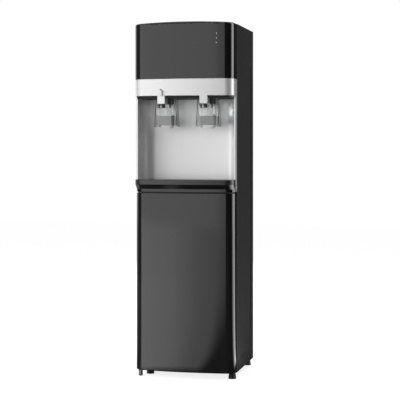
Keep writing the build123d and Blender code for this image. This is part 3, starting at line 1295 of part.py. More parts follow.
DRYER_RADIUS = 9.0
CONDENSER_BOTTOM_Z = FOOT_HEIGHT + 78
DRYER_BOTTOM = CONDENSER_BOTTOM_Z + 32
DRYER_TOP = DRYER_BOTTOM + 72
DRYER_DEPTH = REAR_DEPTH - 32
CAPILLARY_RADIUS = 1.5
CAPILLARY_END_X = -50.0
CAPILLARY_TURN_Z = JACKET_BOTTOM - 22


def liquid_line():
    """Tube from the condenser's lower end to the filter dryer, and its capillary to the cold tank."""
    y = depth(DRYER_DEPTH)
    z = CONDENSER_BOTTOM_Z
    elbow = tube_run(
        [
            (CONDENSER_LEFT, CONDENSER_INNER_Y - SEAT / 2, z), (CONDENSER_LEFT, y, z),
            (CONDENSER_LEFT, y, DRYER_BOTTOM + 1)
        ],
        CONDENSER_TUBE_RADIUS,
        7,
    )
    dryer = post(CONDENSER_LEFT, y, DRYER_BOTTOM, DRYER_TOP, DRYER_RADIUS)
    dryer = fillet(dryer.edges().filter_by(GeomType.CIRCLE), 4)
    capillary = tube_run(
        [
            (CONDENSER_LEFT, y, DRYER_TOP - 1), (CONDENSER_LEFT, y, CAPILLARY_TURN_Z),
            (CAPILLARY_END_X, y, CAPILLARY_TURN_Z), (CAPILLARY_END_X, y, JACKET_BOTTOM),
        ],
        CAPILLARY_RADIUS,
        10,
    )
    return elbow + dryer + capillary


CONDENSER_LEFT = DISCHARGE_X
CONDENSER_RIGHT = HALF_WIDTH - 34.5
CONDENSER_TOP_Z = DECK_TOP - 25
CONDENSER_RUNS = 12
CONDENSER_TUBE_RADIUS = 2.5
CONDENSER_WIRES = 20
WIRE_INSET = 34.0
BRACKET_INSET = 22.0
WIRE_RADIUS = 0.8
WIRE_GAP = 0.05
CONDENSER_Y = REAR_Y + CONDENSER_STANDOFF - CONDENSER_TUBE_RADIUS - 2 * WIRE_RADIUS - WIRE_GAP
CONDENSER_INNER_Y = REAR_Y - 18.0


def condenser_tube():
    """Serpentine tube on the back, entering the cabinet at both of its ends."""
    pitch = (CONDENSER_TOP_Z - CONDENSER_BOTTOM_Z) / (CONDENSER_RUNS - 1)
    points = [(DISCHARGE_X, CONDENSER_INNER_Y, DISCHARGE_Z), (DISCHARGE_X, CONDENSER_Y, DISCHARGE_Z)]
    for index in range(CONDENSER_RUNS):
        z = CONDENSER_TOP_Z - index * pitch
        ends = [(CONDENSER_LEFT, CONDENSER_Y, z), (CONDENSER_RIGHT, CONDENSER_Y, z)]
        points += ends if index % 2 == 0 else ends[::-1]
    points.append((CONDENSER_LEFT, CONDENSER_INNER_Y, CONDENSER_BOTTOM_Z))
    return points


def condenser():
    """Wire-on-tube condenser with its stand-off brackets."""
    tube = tube_run(condenser_tube(), CONDENSER_TUBE_RADIUS, 9)
    reach = CONDENSER_TUBE_RADIUS + WIRE_RADIUS + WIRE_GAP
    span = CONDENSER_RIGHT - CONDENSER_LEFT - 2 * WIRE_INSET
    wires = []
    for index in range(CONDENSER_WIRES):
        x = CONDENSER_LEFT + WIRE_INSET + span * index / (CONDENSER_WIRES - 1)
        for side in (-1, 1):
            y = CONDENSER_Y + side * reach
            wires.append(rod((x, y, CONDENSER_BOTTOM_Z - 12), (x, y, CONDENSER_TOP_Z + 12), WIRE_RADIUS))
    return Compound(children=[tube, *wires])


def condenser_brackets():
    """Four moulded stand-offs that hold the condenser off the steel back."""
    brackets = []
    pitch = (CONDENSER_TOP_Z - CONDENSER_BOTTOM_Z) / (CONDENSER_RUNS - 1)
    for x in (CONDENSER_LEFT + BRACKET_INSET, CONDENSER_RIGHT - BRACKET_INSET):
        for z in (CONDENSER_TOP_Z - pitch, CONDENSER_BOTTOM_Z + pitch):
            arm = block((x - 4, REAR_Y, z - 9), (x + 4, CONDENSER_Y + CONDENSER_TUBE_RADIUS, z + 9))
            arm = chamfer(arm.faces().sort_by(Axis.Y)[-1].edges().filter_by(Axis.X), 4)
            saddle = rod(
                (x - 10, CONDENSER_Y, z), (x + 10, CONDENSER_Y, z), CONDENSER_TUBE_RADIUS + RUNNING_CLEARANCE
            )
            brackets.append(arm - saddle)
    return Compound(children=brackets)


# ------------------------------------------------------------------------ rear fittings
ROCKER_WIDTH = 20.0
ROCKER_HEIGHT = 13.0
ROCKER_THICKNESS = 7.0
ROCKER_PITCH = 26.0
ROCKER_AXIS_IN = 3.0
PLATE_PROUD = 3.0


def rocker_places():
    return {"hot": SWITCH_Z + ROCKER_PITCH / 2, "cold": SWITCH_Z - ROCKER_PITCH / 2}


def switch_plate():
    """Moulded plate for the two rear switches, with a box behind each."""
    half = SWITCH_PLATE_WIDTH / 2
    tall = SWITCH_PLATE_HEIGHT / 2
    plate = block(
        (SWITCH_X - half, REAR_Y, SWITCH_Z - tall), (SWITCH_X + half, REAR_Y + PLATE_PROUD, SWITCH_Z + tall)
    )
    plate = fillet(plate.edges().filter_by(Axis.Y), 4)
    inner = 3 + SEAT
    plate += block(
        (SWITCH_X - half + inner, REAR_Y - 14, SWITCH_Z - tall + inner), (
            SWITCH_X + half - inner, REAR_Y + 1, SWITCH_Z + tall - inner
        )
    )
    for z in rocker_places().values():
        wide = ROCKER_WIDTH / 2 + SEAT
        high = ROCKER_HEIGHT / 2 + 1
        plate -= block(
            (SWITCH_X - wide, REAR_Y - 9, z - high), (SWITCH_X + wide, REAR_Y + PLATE_PROUD + 1, z + high)
        )
        plate -= rocker_axle(z, RUNNING_CLEARANCE)
    return plate


def rocker_axle(z, extra):
    reach = ROCKER_WIDTH / 2 + 2
    y = REAR_Y + PLATE_PROUD - ROCKER_AXIS_IN
    return rod((SWITCH_X - reach - extra, y, z), (SWITCH_X + reach + extra, y, z), 1.2 + extra)


def rocker(z):
    """Rocker key with a shallow V face, on its own axle."""
    half = ROCKER_WIDTH / 2
    tall = ROCKER_HEIGHT / 2
    axis_y = REAR_Y + PLATE_PROUD - ROCKER_AXIS_IN
    face = REAR_Y + PLATE_PROUD + 1.5
    side = [
        (axis_y - 3, z - tall), (face + 1, z - tall), (face - 0.5, z), (face + 1, z + tall),
        (axis_y - 3, z + tall)
    ]
    profile = make_face(Polyline(*side, close=True))
    place = Plane(origin=(SWITCH_X - half, 0, 0), x_dir=(0, 1, 0), z_dir=(1, 0, 0))
    return extrude(place * profile, amount=ROCKER_WIDTH, dir=(1, 0, 0)) + rocker_axle(z, 0)


def power_inlet():
    """Three-pin inlet in the steel back."""
    w = INLET_WIDTH / 2 - SEAT
    h = INLET_HEIGHT / 2 - SEAT
    body = block((INLET_X - w, REAR_Y - 22, INLET_Z - h), (INLET_X + w, REAR_Y + 1, INLET_Z + h))
    flange = block(
        (INLET_X - w - 4, REAR_Y, INLET_Z - h - 4), (INLET_X + w + 4, REAR_Y + 2.5, INLET_Z + h + 4)
    )
    body += fillet(flange.edges().filter_by(Axis.Y), 3)
    cavity = block(
        (INLET_X - w + 2.5, REAR_Y - 14, INLET_Z - h + 2.5),
        (INLET_X + w - 2.5, REAR_Y + 3, INLET_Z + h - 2.5)
    )
    body -= cavity
    for dx, dz in ((-7, -2), (7, -2), (0, 3)):
        body += block(
            (INLET_X + dx - 1, REAR_Y - 15, INLET_Z + dz - 2),
            (INLET_X + dx + 1, REAR_Y - 1, INLET_Z + dz + 2)
        )
    return body


CAP_RADIUS = 11.0
CAP_LENGTH = 12.0
DRAIN_BORE = 4.0


def drain_pipe():
    """Drain from the hot tank out through the back, ending in a round spigot."""
    offset = DRAIN_X + DRAIN_RADIUS - 1 - HOT_TANK_X
    start = depth(HOT_TANK_DEPTH) + (HOT_TANK_RADIUS**2 - offset**2) ** 0.5
    pipe = rod(
        (DRAIN_X, start + SEAT, DRAIN_Z), (DRAIN_X, REAR_Y + CAP_LENGTH - 2, DRAIN_Z), DRAIN_RADIUS - 1
    )
    pipe += rod(
        (DRAIN_X, REAR_Y - SHEET - 3, DRAIN_Z), (DRAIN_X, REAR_Y - SHEET - SEAT, DRAIN_Z), DRAIN_RADIUS + 3
    )
    return pipe - rod((DRAIN_X, REAR_Y - 8, DRAIN_Z), (DRAIN_X, REAR_Y + CAP_LENGTH, DRAIN_Z), DRAIN_BORE)


def drain_cap():
    """Ribbed cap on the drain spigot."""
    end = REAR_Y + SEAT + CAP_LENGTH
    cap = rod((DRAIN_X, REAR_Y + SEAT, DRAIN_Z), (DRAIN_X, end, DRAIN_Z), CAP_RADIUS)
    cap = fillet(cap.edges().filter_by(GeomType.CIRCLE).sort_by(Axis.Y)[-1], 1.5)
    cap -= rod((DRAIN_X, REAR_Y, DRAIN_Z), (DRAIN_X, end - 2, DRAIN_Z), DRAIN_RADIUS - 1 + RUNNING_CLEARANCE)
    for index in range(12):
        spoke = Vector(CAP_RADIUS + 0.6, 0, 0).rotate(Axis.Y, 30 * index)
        place = (DRAIN_X + spoke.X, DRAIN_Z + spoke.Z)
        cap -= rod((place[0], REAR_Y, place[1]), (place[0], end - 3, place[1]), 1.4)
    return cap


# ------------------------------------------------------------------------------ assembly
def build_parts():
    parts = {
        "base_pan": base_pan(),
        "feet": feet(),
        "side_panel_left": side_panel(-1),
        "side_panel_right": side_panel(1),
        "rear_panel": rear_panel(),
        "top_cover": top_cover(),
        "control_fascia": control_fascia(),
        "control_board": control_board(),
        "indicator_lenses": indicator_lenses(),
        "indicator_board": indicator_board(),
        "tap_band": tap_band(),
        "child_lock": child_lock(),
        "head_underside": head_underside(),
        "alcove_liner": alcove_liner(),
        "mid_rail": mid_rail(),
        "drip_tray": drip_tray(),
        "drip_grille": drip_grille(),
        "machine_deck": machine_deck(),
        "door_panel": door_panel(),
        "door_liner": door_liner(),
        "door_bushes": door_bushes(),
        "door_strike": door_strike(),
        "door_magnet": door_magnet(),
        "lower_hinge": lower_hinge(),
        "upper_hinge": upper_hinge(),
        "bottle_tray": bottle_tray(),
        "bottle_probe": bottle_probe(),
        "probe_holder": probe_holder(),
        "probe_hose": probe_hose(),
        "water_pump": water_pump(),
        "feed_hoses": Compound(children=[tank_feed_hose(), hot_feed_hose()]),
        "upper_shelf": upper_shelf(),
        "cold_tank": cold_tank(),
        "cold_tank_foam": Compound(children=[cold_tank_jacket(), cold_tank_lid()]),
        "hot_tank": hot_tank(),
        "hot_tank_stand": hot_tank_stand(),
        "tap_hoses": Compound(children=[hot_outlet_hose(), cold_outlet_hose()]),
        "compressor": compressor(),
        "compressor_grommets": compressor_grommets(),
        "refrigerant_lines": Compound(children=[suction_line(), discharge_line(), liquid_line()]),
        "condenser": condenser(),
        "condenser_brackets": condenser_brackets(),
        "switch_plate": switch_plate(),
        "power_inlet": power_inlet(),
        "lever_pins": Compound(children=[lever_pin(x) for x in TAPS.values()]),
        "lever_springs": Compound(children=[lever_spring(x) for x in TAPS.values()]),
        "spout_nozzles": Compound(children=[nozzle(x) for x in TAPS.values()]),
        "splash_guards": Compound(children=[splash_guard(x) for x in TAPS.values()]),
        "drain_pipe": drain_pipe(),
        "drain_cap": drain_cap(),
    }
    for name, z in rocker_places().items():
        parts[f"{name}_switch"] = rocker(z)
    for name, x in TAPS.items():
        parts[f"{name}_tap_body"] = tap_body(x)
        parts[f"{name}_lever"] = push_lever(x)
        parts[f"{name}_lever_pad"] = lever_pad(x)
        parts[f"{name}_lever_core"] = lever_core(x)
    return parts


def main():
    os.makedirs("parts", exist_ok=True)
    for name, shape in build_parts().items():
        export_step(shape, f"parts/{name}.step")


main()
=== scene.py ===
"""Finishes, small fittings and studio for a bottom load water cooler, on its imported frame."""
import math

import bmesh
import bpy
from bpy.props import FloatProperty, FloatVectorProperty, IntProperty, PointerProperty
from bpy.types import Operator, Panel, PropertyGroup
from mathutils import Matrix, Vector


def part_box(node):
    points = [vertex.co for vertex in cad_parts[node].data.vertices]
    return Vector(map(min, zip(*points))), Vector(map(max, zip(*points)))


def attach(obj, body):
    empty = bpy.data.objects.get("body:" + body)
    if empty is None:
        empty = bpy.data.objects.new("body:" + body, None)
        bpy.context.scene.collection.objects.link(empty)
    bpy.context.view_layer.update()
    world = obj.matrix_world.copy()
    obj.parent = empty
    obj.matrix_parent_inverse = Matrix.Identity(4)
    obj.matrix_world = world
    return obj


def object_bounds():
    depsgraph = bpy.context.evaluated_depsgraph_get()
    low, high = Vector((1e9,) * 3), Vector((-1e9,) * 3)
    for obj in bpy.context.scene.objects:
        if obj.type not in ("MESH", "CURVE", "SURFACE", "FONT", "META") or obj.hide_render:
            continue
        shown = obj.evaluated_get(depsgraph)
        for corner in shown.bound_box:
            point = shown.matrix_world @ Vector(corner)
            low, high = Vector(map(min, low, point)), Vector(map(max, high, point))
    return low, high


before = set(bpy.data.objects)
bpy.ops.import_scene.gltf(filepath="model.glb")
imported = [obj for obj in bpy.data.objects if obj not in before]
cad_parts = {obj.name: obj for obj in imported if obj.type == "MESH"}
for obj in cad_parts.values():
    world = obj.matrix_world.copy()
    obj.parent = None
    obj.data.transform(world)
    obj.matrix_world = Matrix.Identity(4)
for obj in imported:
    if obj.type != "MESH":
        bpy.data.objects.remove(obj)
CAD_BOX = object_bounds()

bl_info = {
    "name": "Water cooler finishes",
    "version": (1, 0, 0),
    "blender": (4, 5, 0),
    "location": "3D View > Sidebar > Cooler",
    "description": "Dresses the frame of a bottom load water cooler and lights it",
    "category": "Object",
}


def colour_property(name, description, default):
    return FloatVectorProperty(
        name=name, description=description, default=default, subtype="COLOR", size=3, min=0.0, max=1.0
    )


def length_property(name, description, default):
    return FloatProperty(name=name, description=description, default=default, unit="LENGTH", min=0.0)


def share_property(name, description, default):
    return FloatProperty(
        name=name, description=description, default=default, subtype="FACTOR", min=0.0, max=1.0
    )


def power_property(name, description, default):
    return FloatProperty(name=name, description=description, default=default, subtype="POWER", min=0.0)


class CoolerFinishes(PropertyGroup):
    """Colours and gloss of the cooler's materials."""

    front_black: colour_property(
        "Front black", "High-gloss black of the fascia and the door", (0.012, 0.012, 0.013)
    )
    front_roughness: share_property("Front roughness", "Roughness of the high-gloss black", 0.06)
    sheet_black: colour_property("Sheet black", "Powder coat on the steel sheets", (0.022, 0.022, 0.023))
    sheet_roughness: share_property("Sheet roughness", "Roughness of the powder coat", 0.42)
    moulding_black: colour_property(
        "Moulding black", "Matt black of the small mouldings", (0.02, 0.02, 0.021)
    )
    silver: colour_property("Silver", "Satin silver paint of the band and the alcove", (0.78, 0.78, 0.785))
    pad_grey: colour_property("Pad grey", "Grey of the lever pads and the lock slider", (0.32, 0.32, 0.32))
    clear_tint: colour_property("Clear tint", "Tint of the clear levers and guards", (0.96, 0.97, 0.97))
    # Painted shade: dark tone blended into clear plastic where it is seen edge-on, standing in for dark
    # outlines
    clear_edge_painted_shade: colour_property("Clear edge", "Tone that clear plastic takes on edge", (0.03, 0.032, 0.032))
    grain_size: length_property("Grain size", "Size of the moulded grain on matt plastic", 0.0009)
    coat_grain_size: length_property("Coat grain size", "Size of the ripple in the powder coat", 0.0016)


class CoolerFittings(PropertyGroup):
    """Sizes of the small fittings that the frame leaves out."""

    screw_head: length_property("Screw head", "Radius of a pan-head screw", 0.0042)
    screw_height: length_property("Screw height", "Height of a pan-head screw", 0.0022)
    screw_inset: length_property("Screw inset", "From the side of the rear panel to a screw", 0.0048)
    screw_end_inset: length_property("Screw end inset", "From the panel's top or foot to a screw", 0.035)
    screw_rows: IntProperty(
        name="Screw rows", description="Screws down each side of the rear panel", default=5, min=2
    )
    mark_size: length_property("Mark size", "Half height of the bar and ring on a rocker", 0.0016)
    strip_inset: length_property("Strip inset", "How far the lip stands back from the door's face", 0.004)
    strip_gap: length_property("Strip gap", "Clearance between the lip and the door", 0.0006)
    strip_thickness: length_property("Strip thickness", "Thickness of the lip", 0.0015)


class CoolerStudio(PropertyGroup):
    """Camera, lamps and floor."""

    azimuth: FloatProperty(
        name="Azimuth", description="Camera's turn to the cooler's right", default=math.radians(13.17),
        subtype="ANGLE",
    )
    camera_place: FloatVectorProperty(
        name="Camera place", description="Where the camera stands", default=(0.8640, -3.6300, 0.6848),
        subtype="XYZ", unit="LENGTH", size=3,
    )
    lens: FloatProperty(name="Lens", description="Focal length in millimetres", default=108.55, min=1.0)
    horizon_shift: FloatProperty(
        name="Horizon shift", description="Vertical shift as a share of the frame", default=-0.1282
    )
    key_power: power_property("Key power", "Power of the broad lamp at the left", 56.0)
    fill_power: power_property("Fill power", "Power of the lamp above the right side", 9.0)
    front_power: power_property("Front power", "Power of the lamp beside the camera", 11.0)
    back_power: power_property("Back power", "Power of the lamp behind", 40.0)
    sky: share_property("Sky", "Strength of the even light from all round", 0.30)
    floor_glow: share_property("Floor glow", "White added to the floor where it is looked at", 0.82)
    floor_size: length_property("Floor size", "Side of the square floor", 14.0)


# ---------------------------------------------------------------- shader tools


def feed(tree, socket, value):
    """Set an input, or link it where the value is an output socket."""
    if isinstance(value, bpy.types.NodeSocket):
        tree.links.new(value, socket)
    else:
        socket.default_value = value


def add_node(tree, kind, **inputs):
    """Add a node and feed its inputs, an underscore in a name standing for a space."""
    made = tree.nodes.new(kind)
    for name, value in inputs.items():
        feed(tree, made.inputs[name.replace("_", " ")], value)
    return made


def add_math(tree, operation, *values):
    made = tree.nodes.new("ShaderNodeMath")
    made.operation = operation
    for socket, value in zip(made.inputs, values):
        feed(tree, socket, value)
    return made.outputs["Value"]


def add_mix(tree, kind, share, low, high):
    """Mix node of a data type from low to high by a share; each may be a value or a socket."""
    mix = tree.nodes.new("ShaderNodeMix")
    mix.data_type = kind
    for name, value in (("Factor", share), ("A", low), ("B", high)):
        feed(tree, mix.inputs[name], value)
    return mix.outputs["Result"]


def new_group(name, inputs, outputs):
    """Start a shader node group whose inputs are (name, default) floats; give its tree and ends."""
    tree = bpy.data.node_groups.new(name, "ShaderNodeTree")
    for label, default in inputs:
        socket = tree.interface.new_socket(name=label, in_out="INPUT", socket_type="NodeSocketFloat")
        socket.default_value = default
    for label in outputs:
        tree.interface.new_socket(name=label, in_out="OUTPUT", socket_type="NodeSocketFloat")
    return tree, tree.nodes.new("NodeGroupInput"), tree.nodes.new("NodeGroupOutput")


def use_group(tree, group, **inputs):
    made = tree.nodes.new("ShaderNodeGroup")
    made.node_tree = group
    for name, value in inputs.items():
        made.inputs[name.replace("_", " ")].default_value = value
    return made.outputs


def object_place(tree):
    return tree.nodes.new("ShaderNodeTexCoord").outputs["Object"]


def moulded_grain():
    """Fine pebbled texture of a matt moulding."""
    tree, start, end = new_group("Moulded grain", [("Size", 0.001)], ["Height", "Tone"])
    place = object_place(tree)
    scale = add_math(tree, "DIVIDE", 1.0, start.outputs["Size"])
    pebble = add_node(tree, "ShaderNodeTexVoronoi", Vector=place, Scale=scale)
    cloud = add_node(tree, "ShaderNodeTexNoise", Vector=place, Scale=scale, Detail=2.0)
    height = add_math(tree, "MULTIPLY_ADD", cloud.outputs["Fac"], 0.6, pebble.outputs["Distance"])
    broad = add_node(tree, "ShaderNodeTexNoise", Vector=place, Scale=14.0, Detail=3.0)
    tree.links.new(height, end.inputs["Height"])
    tree.links.new(broad.outputs["Fac"], end.inputs["Tone"])
    return tree


def coat_ripple():
    """Orange-peel ripple of sprayed paint or powder coat."""
    tree, start, end = new_group("Coat ripple", [("Size", 0.002)], ["Height", "Tone"])
    place = object_place(tree)
    scale = add_math(tree, "DIVIDE", 1.0, start.outputs["Size"])
    ripple = add_node(tree, "ShaderNodeTexNoise", Vector=place, Scale=scale, Detail=2.0, Roughness=0.45)
    broad = add_node(tree, "ShaderNodeTexNoise", Vector=place, Scale=7.0, Detail=4.0)
    tree.links.new(ripple.outputs["Fac"], end.inputs["Height"])
    tree.links.new(broad.outputs["Fac"], end.inputs["Tone"])
    return tree


def handling_film():
    """Faint smears and settled dust, strongest where faces look up."""
    tree, start, end = new_group("Handling film", [("Smears", 0.5), ("Dust", 0.5)], ["Mask", "Dust"])
    place = object_place(tree)
    long_way = add_node(tree, "ShaderNodeMapping", Vector=place, Scale=(9.0, 9.0, 2.2))
    smear = add_node(
        tree, "ShaderNodeTexNoise", Vector=long_way.outputs["Vector"], Scale=2.0, Detail=5.0, Distortion=0.7
    )
    raised = add_math(tree, "POWER", smear.outputs["Fac"], 2.2)
    mask = add_math(tree, "MULTIPLY", raised, start.outputs["Smears"])
    facing = tree.nodes.new("ShaderNodeNewGeometry").outputs["Normal"]
    upward = add_node(tree, "ShaderNodeSeparateXYZ", Vector=facing)
    level = add_math(tree, "MAXIMUM", upward.outputs["Z"], 0.0)
    speck = add_node(tree, "ShaderNodeTexNoise", Vector=place, Scale=420.0, Detail=3.0)
    settled = add_math(tree, "MULTIPLY", add_math(tree, "POWER", level, 3.0), speck.outputs["Fac"])
    tree.links.new(mask, end.inputs["Mask"])
    tree.links.new(add_math(tree, "MULTIPLY", settled, start.outputs["Dust"]), end.inputs["Dust"])
    return tree


def brushed_lines():
    """Long fine lines of rolled or brushed metal, along Z."""
    tree, start, end = new_group("Brushed lines", [("Size", 0.0004)], ["Height", "Tone"])
    place = object_place(tree)
    scale = add_math(tree, "DIVIDE", 1.0, start.outputs["Size"])
    stretched = add_node(tree, "ShaderNodeMapping", Vector=place, Scale=(1.0, 1.0, 0.03))
    lines = add_node(tree, "ShaderNodeTexNoise", Vector=stretched.outputs["Vector"], Scale=scale, Detail=3.0)
    broad = add_node(tree, "ShaderNodeTexNoise", Vector=place, Scale=18.0, Detail=3.0)
    tree.links.new(lines.outputs["Fac"], end.inputs["Height"])
    tree.links.new(broad.outputs["Fac"], end.inputs["Tone"])
    return tree


GROUP_MAKERS = {
    "Moulded grain": moulded_grain,
    "Coat ripple": coat_ripple,
    "Handling film": handling_film,
    "Brushed lines": brushed_lines,
}


def effect(name):
    return bpy.data.node_groups.get(name) or GROUP_MAKERS[name]()


DUST_GREY = (0.32, 0.31, 0.3)


def tone_colour(tree, mask, dark, light):
    """Colour that drifts between two shades with a mask."""
    return add_mix(tree, "RGBA", mask, (*dark, 1.0), (*light, 1.0))


# Mixes a second colour in by a mask: settled dust on most finishes, painted edge shade on clear plastic
def dust_and_shade_mix(tree, colour, mask, dust=DUST_GREY):
    return add_mix(tree, "RGBA", mask, colour, (*dust, 1.0))


def shades(colour, spread):
    """The colour made darker and lighter by a share of itself."""
    return tuple(c * (1 - spread) for c in colour), tuple(min(1.0, c * (1 + spread)) for c in colour)


def start_material(name):
    material = bpy.data.materials.new(name)
    material.use_nodes = True
    return material, material.node_tree, material.node_tree.nodes["Principled BSDF"]


def raise_surface(tree, shader, height, depth):
    """Bump of a full height's depth in metres."""
    bump = add_node(tree, "ShaderNodeBump", Height=height, Distance=depth, Strength=1.0)
    tree.links.new(bump.outputs["Normal"], shader.inputs["Normal"])


def varied_roughness(tree, shader, mask, low, high):
    spread = add_node(tree, "ShaderNodeMapRange", Value=mask, To_Min=low, To_Max=high)
    tree.links.new(spread.outputs["Result"], shader.inputs["Roughness"])


# ---------------------------------------------------------------- the cooler's materials

# Depth of the grain on ordinary and on fine matt mouldings, in metres
COARSE_GRAIN = 0.00006
FINE_GRAIN = 0.00002


def gloss_black(finishes):
    """Injection-moulded black with a polished skin."""
    material, tree, shader = start_material("gloss_black_front")
    film = use_group(tree, effect("Handling film"), Smears=0.5, Dust=0.10)
    ripple = use_group(tree, effect("Coat ripple"), Size=0.02)
    base = tone_colour(tree, ripple["Tone"], *shades(finishes.front_black, 0.08))
    tree.links.new(dust_and_shade_mix(tree, base, film["Dust"]), shader.inputs["Base Color"])
    rough = finishes.front_roughness
    varied_roughness(tree, shader, film["Mask"], rough, rough + 0.06)
    raise_surface(tree, shader, ripple["Height"], 0.00002)
    shader.inputs["IOR"].default_value = 1.5
    return material


def powder_coat(finishes):
    """Black powder coat on steel sheet."""
    material, tree, shader = start_material("powder_coated_sheet")
    film = use_group(tree, effect("Handling film"), Smears=0.5, Dust=0.25)
    ripple = use_group(tree, effect("Coat ripple"), Size=finishes.coat_grain_size)
    base = tone_colour(tree, ripple["Tone"], *shades(finishes.sheet_black, 0.12))
    tree.links.new(dust_and_shade_mix(tree, base, film["Dust"]), shader.inputs["Base Color"])
    rough = finishes.sheet_roughness
    varied_roughness(tree, shader, film["Mask"], rough, rough + 0.12)
    raise_surface(tree, shader, ripple["Height"], 0.00005)
    shader.inputs["Specular IOR Level"].default_value = 0.12
    return material


def moulding(name, finishes, colour, rough, depth=COARSE_GRAIN):
    """Matt plastic with a moulded grain."""
    material, tree, shader = start_material(name)
    film = use_group(tree, effect("Handling film"), Smears=0.4, Dust=0.18)
    grain = use_group(tree, effect("Moulded grain"), Size=finishes.grain_size)
    base = tone_colour(tree, grain["Tone"], *shades(colour, 0.08))
    tree.links.new(dust_and_shade_mix(tree, base, film["Dust"]), shader.inputs["Base Color"])
    varied_roughness(tree, shader, film["Mask"], rough, rough + 0.15)
    raise_surface(tree, shader, grain["Height"], depth)
    return material


def silver_paint(finishes, name="silver_paint"):
    """Satin silver paint: pale flakes under a thin matt lacquer."""
    material, tree, shader = start_material(name)
    flake = add_node(tree, "ShaderNodeTexVoronoi", Vector=object_place(tree), Scale=2600.0)
    ripple = use_group(tree, effect("Coat ripple"), Size=0.004)
    film = use_group(tree, effect("Handling film"), Smears=0.4, Dust=0.06)
    base = tone_colour(tree, flake.outputs["Distance"], *shades(finishes.silver, 0.05))
    tree.links.new(dust_and_shade_mix(tree, base, film["Dust"]), shader.inputs["Base Color"])
    varied_roughness(tree, shader, film["Mask"], 0.34, 0.44)
    raise_surface(tree, shader, ripple["Height"], 0.00003)
    shader.inputs["Metallic"].default_value = 0.25
    return material


def clear_moulding(finishes):
    """Clear acrylic with faint flow marks, and painted shade that darkens its colour where it is seen
    edge-on.
    """
    material, tree, shader = start_material("clear_moulding")
    ripple = use_group(tree, effect("Coat ripple"), Size=0.012)
    tint = tone_colour(tree, ripple["Tone"], *shades(finishes.clear_tint, 0.01))
    # Painted shade: the facing weight darkens the colour towards the edge tone where faces turn from the
    # camera
    edge = add_node(tree, "ShaderNodeLayerWeight", Blend=0.3)
    edge_shade_share = add_math(tree, "POWER", edge.outputs["Facing"], 1.4)
    tree.links.new(dust_and_shade_mix(tree, tint, edge_shade_share, finishes.clear_edge_painted_shade), shader.inputs["Base Color"])
    shader.inputs["Transmission Weight"].default_value = 1.0
    shader.inputs["IOR"].default_value = 1.45
    film = use_group(tree, effect("Handling film"), Smears=0.5, Dust=0.0)
    varied_roughness(tree, shader, film["Mask"], 0.02, 0.10)
    raise_surface(tree, shader, ripple["Height"], 0.00004)
    return material


def rolled_metal(name, colour, rough, size=0.0005):
    """Bare metal with fine rolling lines."""
    material, tree, shader = start_material(name)
    lines = use_group(tree, effect("Brushed lines"), Size=size)
    tree.links.new(tone_colour(tree, lines["Tone"], *shades(colour, 0.1)), shader.inputs["Base Color"])
    shader.inputs["Metallic"].default_value = 1.0
    varied_roughness(tree, shader, lines["Height"], rough, rough + 0.12)
    raise_surface(tree, shader, lines["Height"], 0.00002)
    return material


def black_enamel():
    """Dipped black enamel on wire, tube and motor cans."""
    material, tree, shader = start_material("black_enamel")
    ripple = use_group(tree, effect("Coat ripple"), Size=0.003)
    film = use_group(tree, effect("Handling film"), Smears=0.3, Dust=0.5)
    base = tone_colour(tree, ripple["Tone"], (0.012, 0.012, 0.012), (0.02, 0.02, 0.02))
    tree.links.new(dust_and_shade_mix(tree, base, film["Dust"]), shader.inputs["Base Color"])
    varied_roughness(tree, shader, ripple["Tone"], 0.2, 0.4)
    raise_surface(tree, shader, ripple["Height"], 0.00008)
    return material


def rubber(name, colour, rough):
    """Soft rubber or silicone with a bloomed skin."""
    material, tree, shader = start_material(name)
    grain = use_group(tree, effect("Moulded grain"), Size=0.0006)
    tree.links.new(tone_colour(tree, grain["Tone"], *shades(colour, 0.15)), shader.inputs["Base Color"])
    varied_roughness(tree, shader, grain["Tone"], rough, rough + 0.15)
    raise_surface(tree, shader, grain["Height"], 0.00003)
    return material


def rigid_foam():
    """Cut polystyrene: packed beads."""
    material, tree, shader = start_material("rigid_foam")
    bead = add_node(tree, "ShaderNodeTexVoronoi", Vector=object_place(tree), Scale=260.0)
    base = tone_colour(tree, bead.outputs["Distance"], (0.86, 0.86, 0.84), (0.7, 0.7, 0.68))
    tree.links.new(base, shader.inputs["Base Color"])
    raise_surface(tree, shader, bead.outputs["Distance"], -0.0008)
    shader.inputs["Roughness"].default_value = 0.9
    return material


def circuit_board():
    """Green solder mask with fine tracks showing through."""
    material, tree, shader = start_material("circuit_board")
    place = object_place(tree)
    tracks = add_node(tree, "ShaderNodeTexBrick", Vector=place, Scale=160.0, Mortar_Size=0.03)
    tracks.inputs["Color1"].default_value = (0.01, 0.10, 0.03, 1.0)
    tracks.inputs["Color2"].default_value = (0.015, 0.13, 0.04, 1.0)
    tracks.inputs["Mortar"].default_value = (0.05, 0.22, 0.08, 1.0)
    tree.links.new(tracks.outputs["Color"], shader.inputs["Base Color"])
    raise_surface(tree, shader, tracks.outputs["Fac"], 0.00005)
    shader.inputs["Roughness"].default_value = 0.35
    return material


def light_guide():
    """Pale diffusing light guide behind the fascia's small windows."""
    material, tree, shader = start_material("light_guide")
    cloud = add_node(tree, "ShaderNodeTexNoise", Vector=object_place(tree), Scale=900.0, Detail=2.0)
    base = tone_colour(tree, cloud.outputs["Fac"], (0.42, 0.43, 0.44), (0.56, 0.57, 0.58))
    tree.links.new(base, shader.inputs["Base Color"])
    shader.inputs["Roughness"].default_value = 0.25
    return material


# ---------------------------------------------------------------- dressing and piece tools


def dress(nodes, material):
    """Give carried-over frame nodes a finish."""
    for name in nodes:
        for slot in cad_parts[name].material_slots:
            slot.material = material


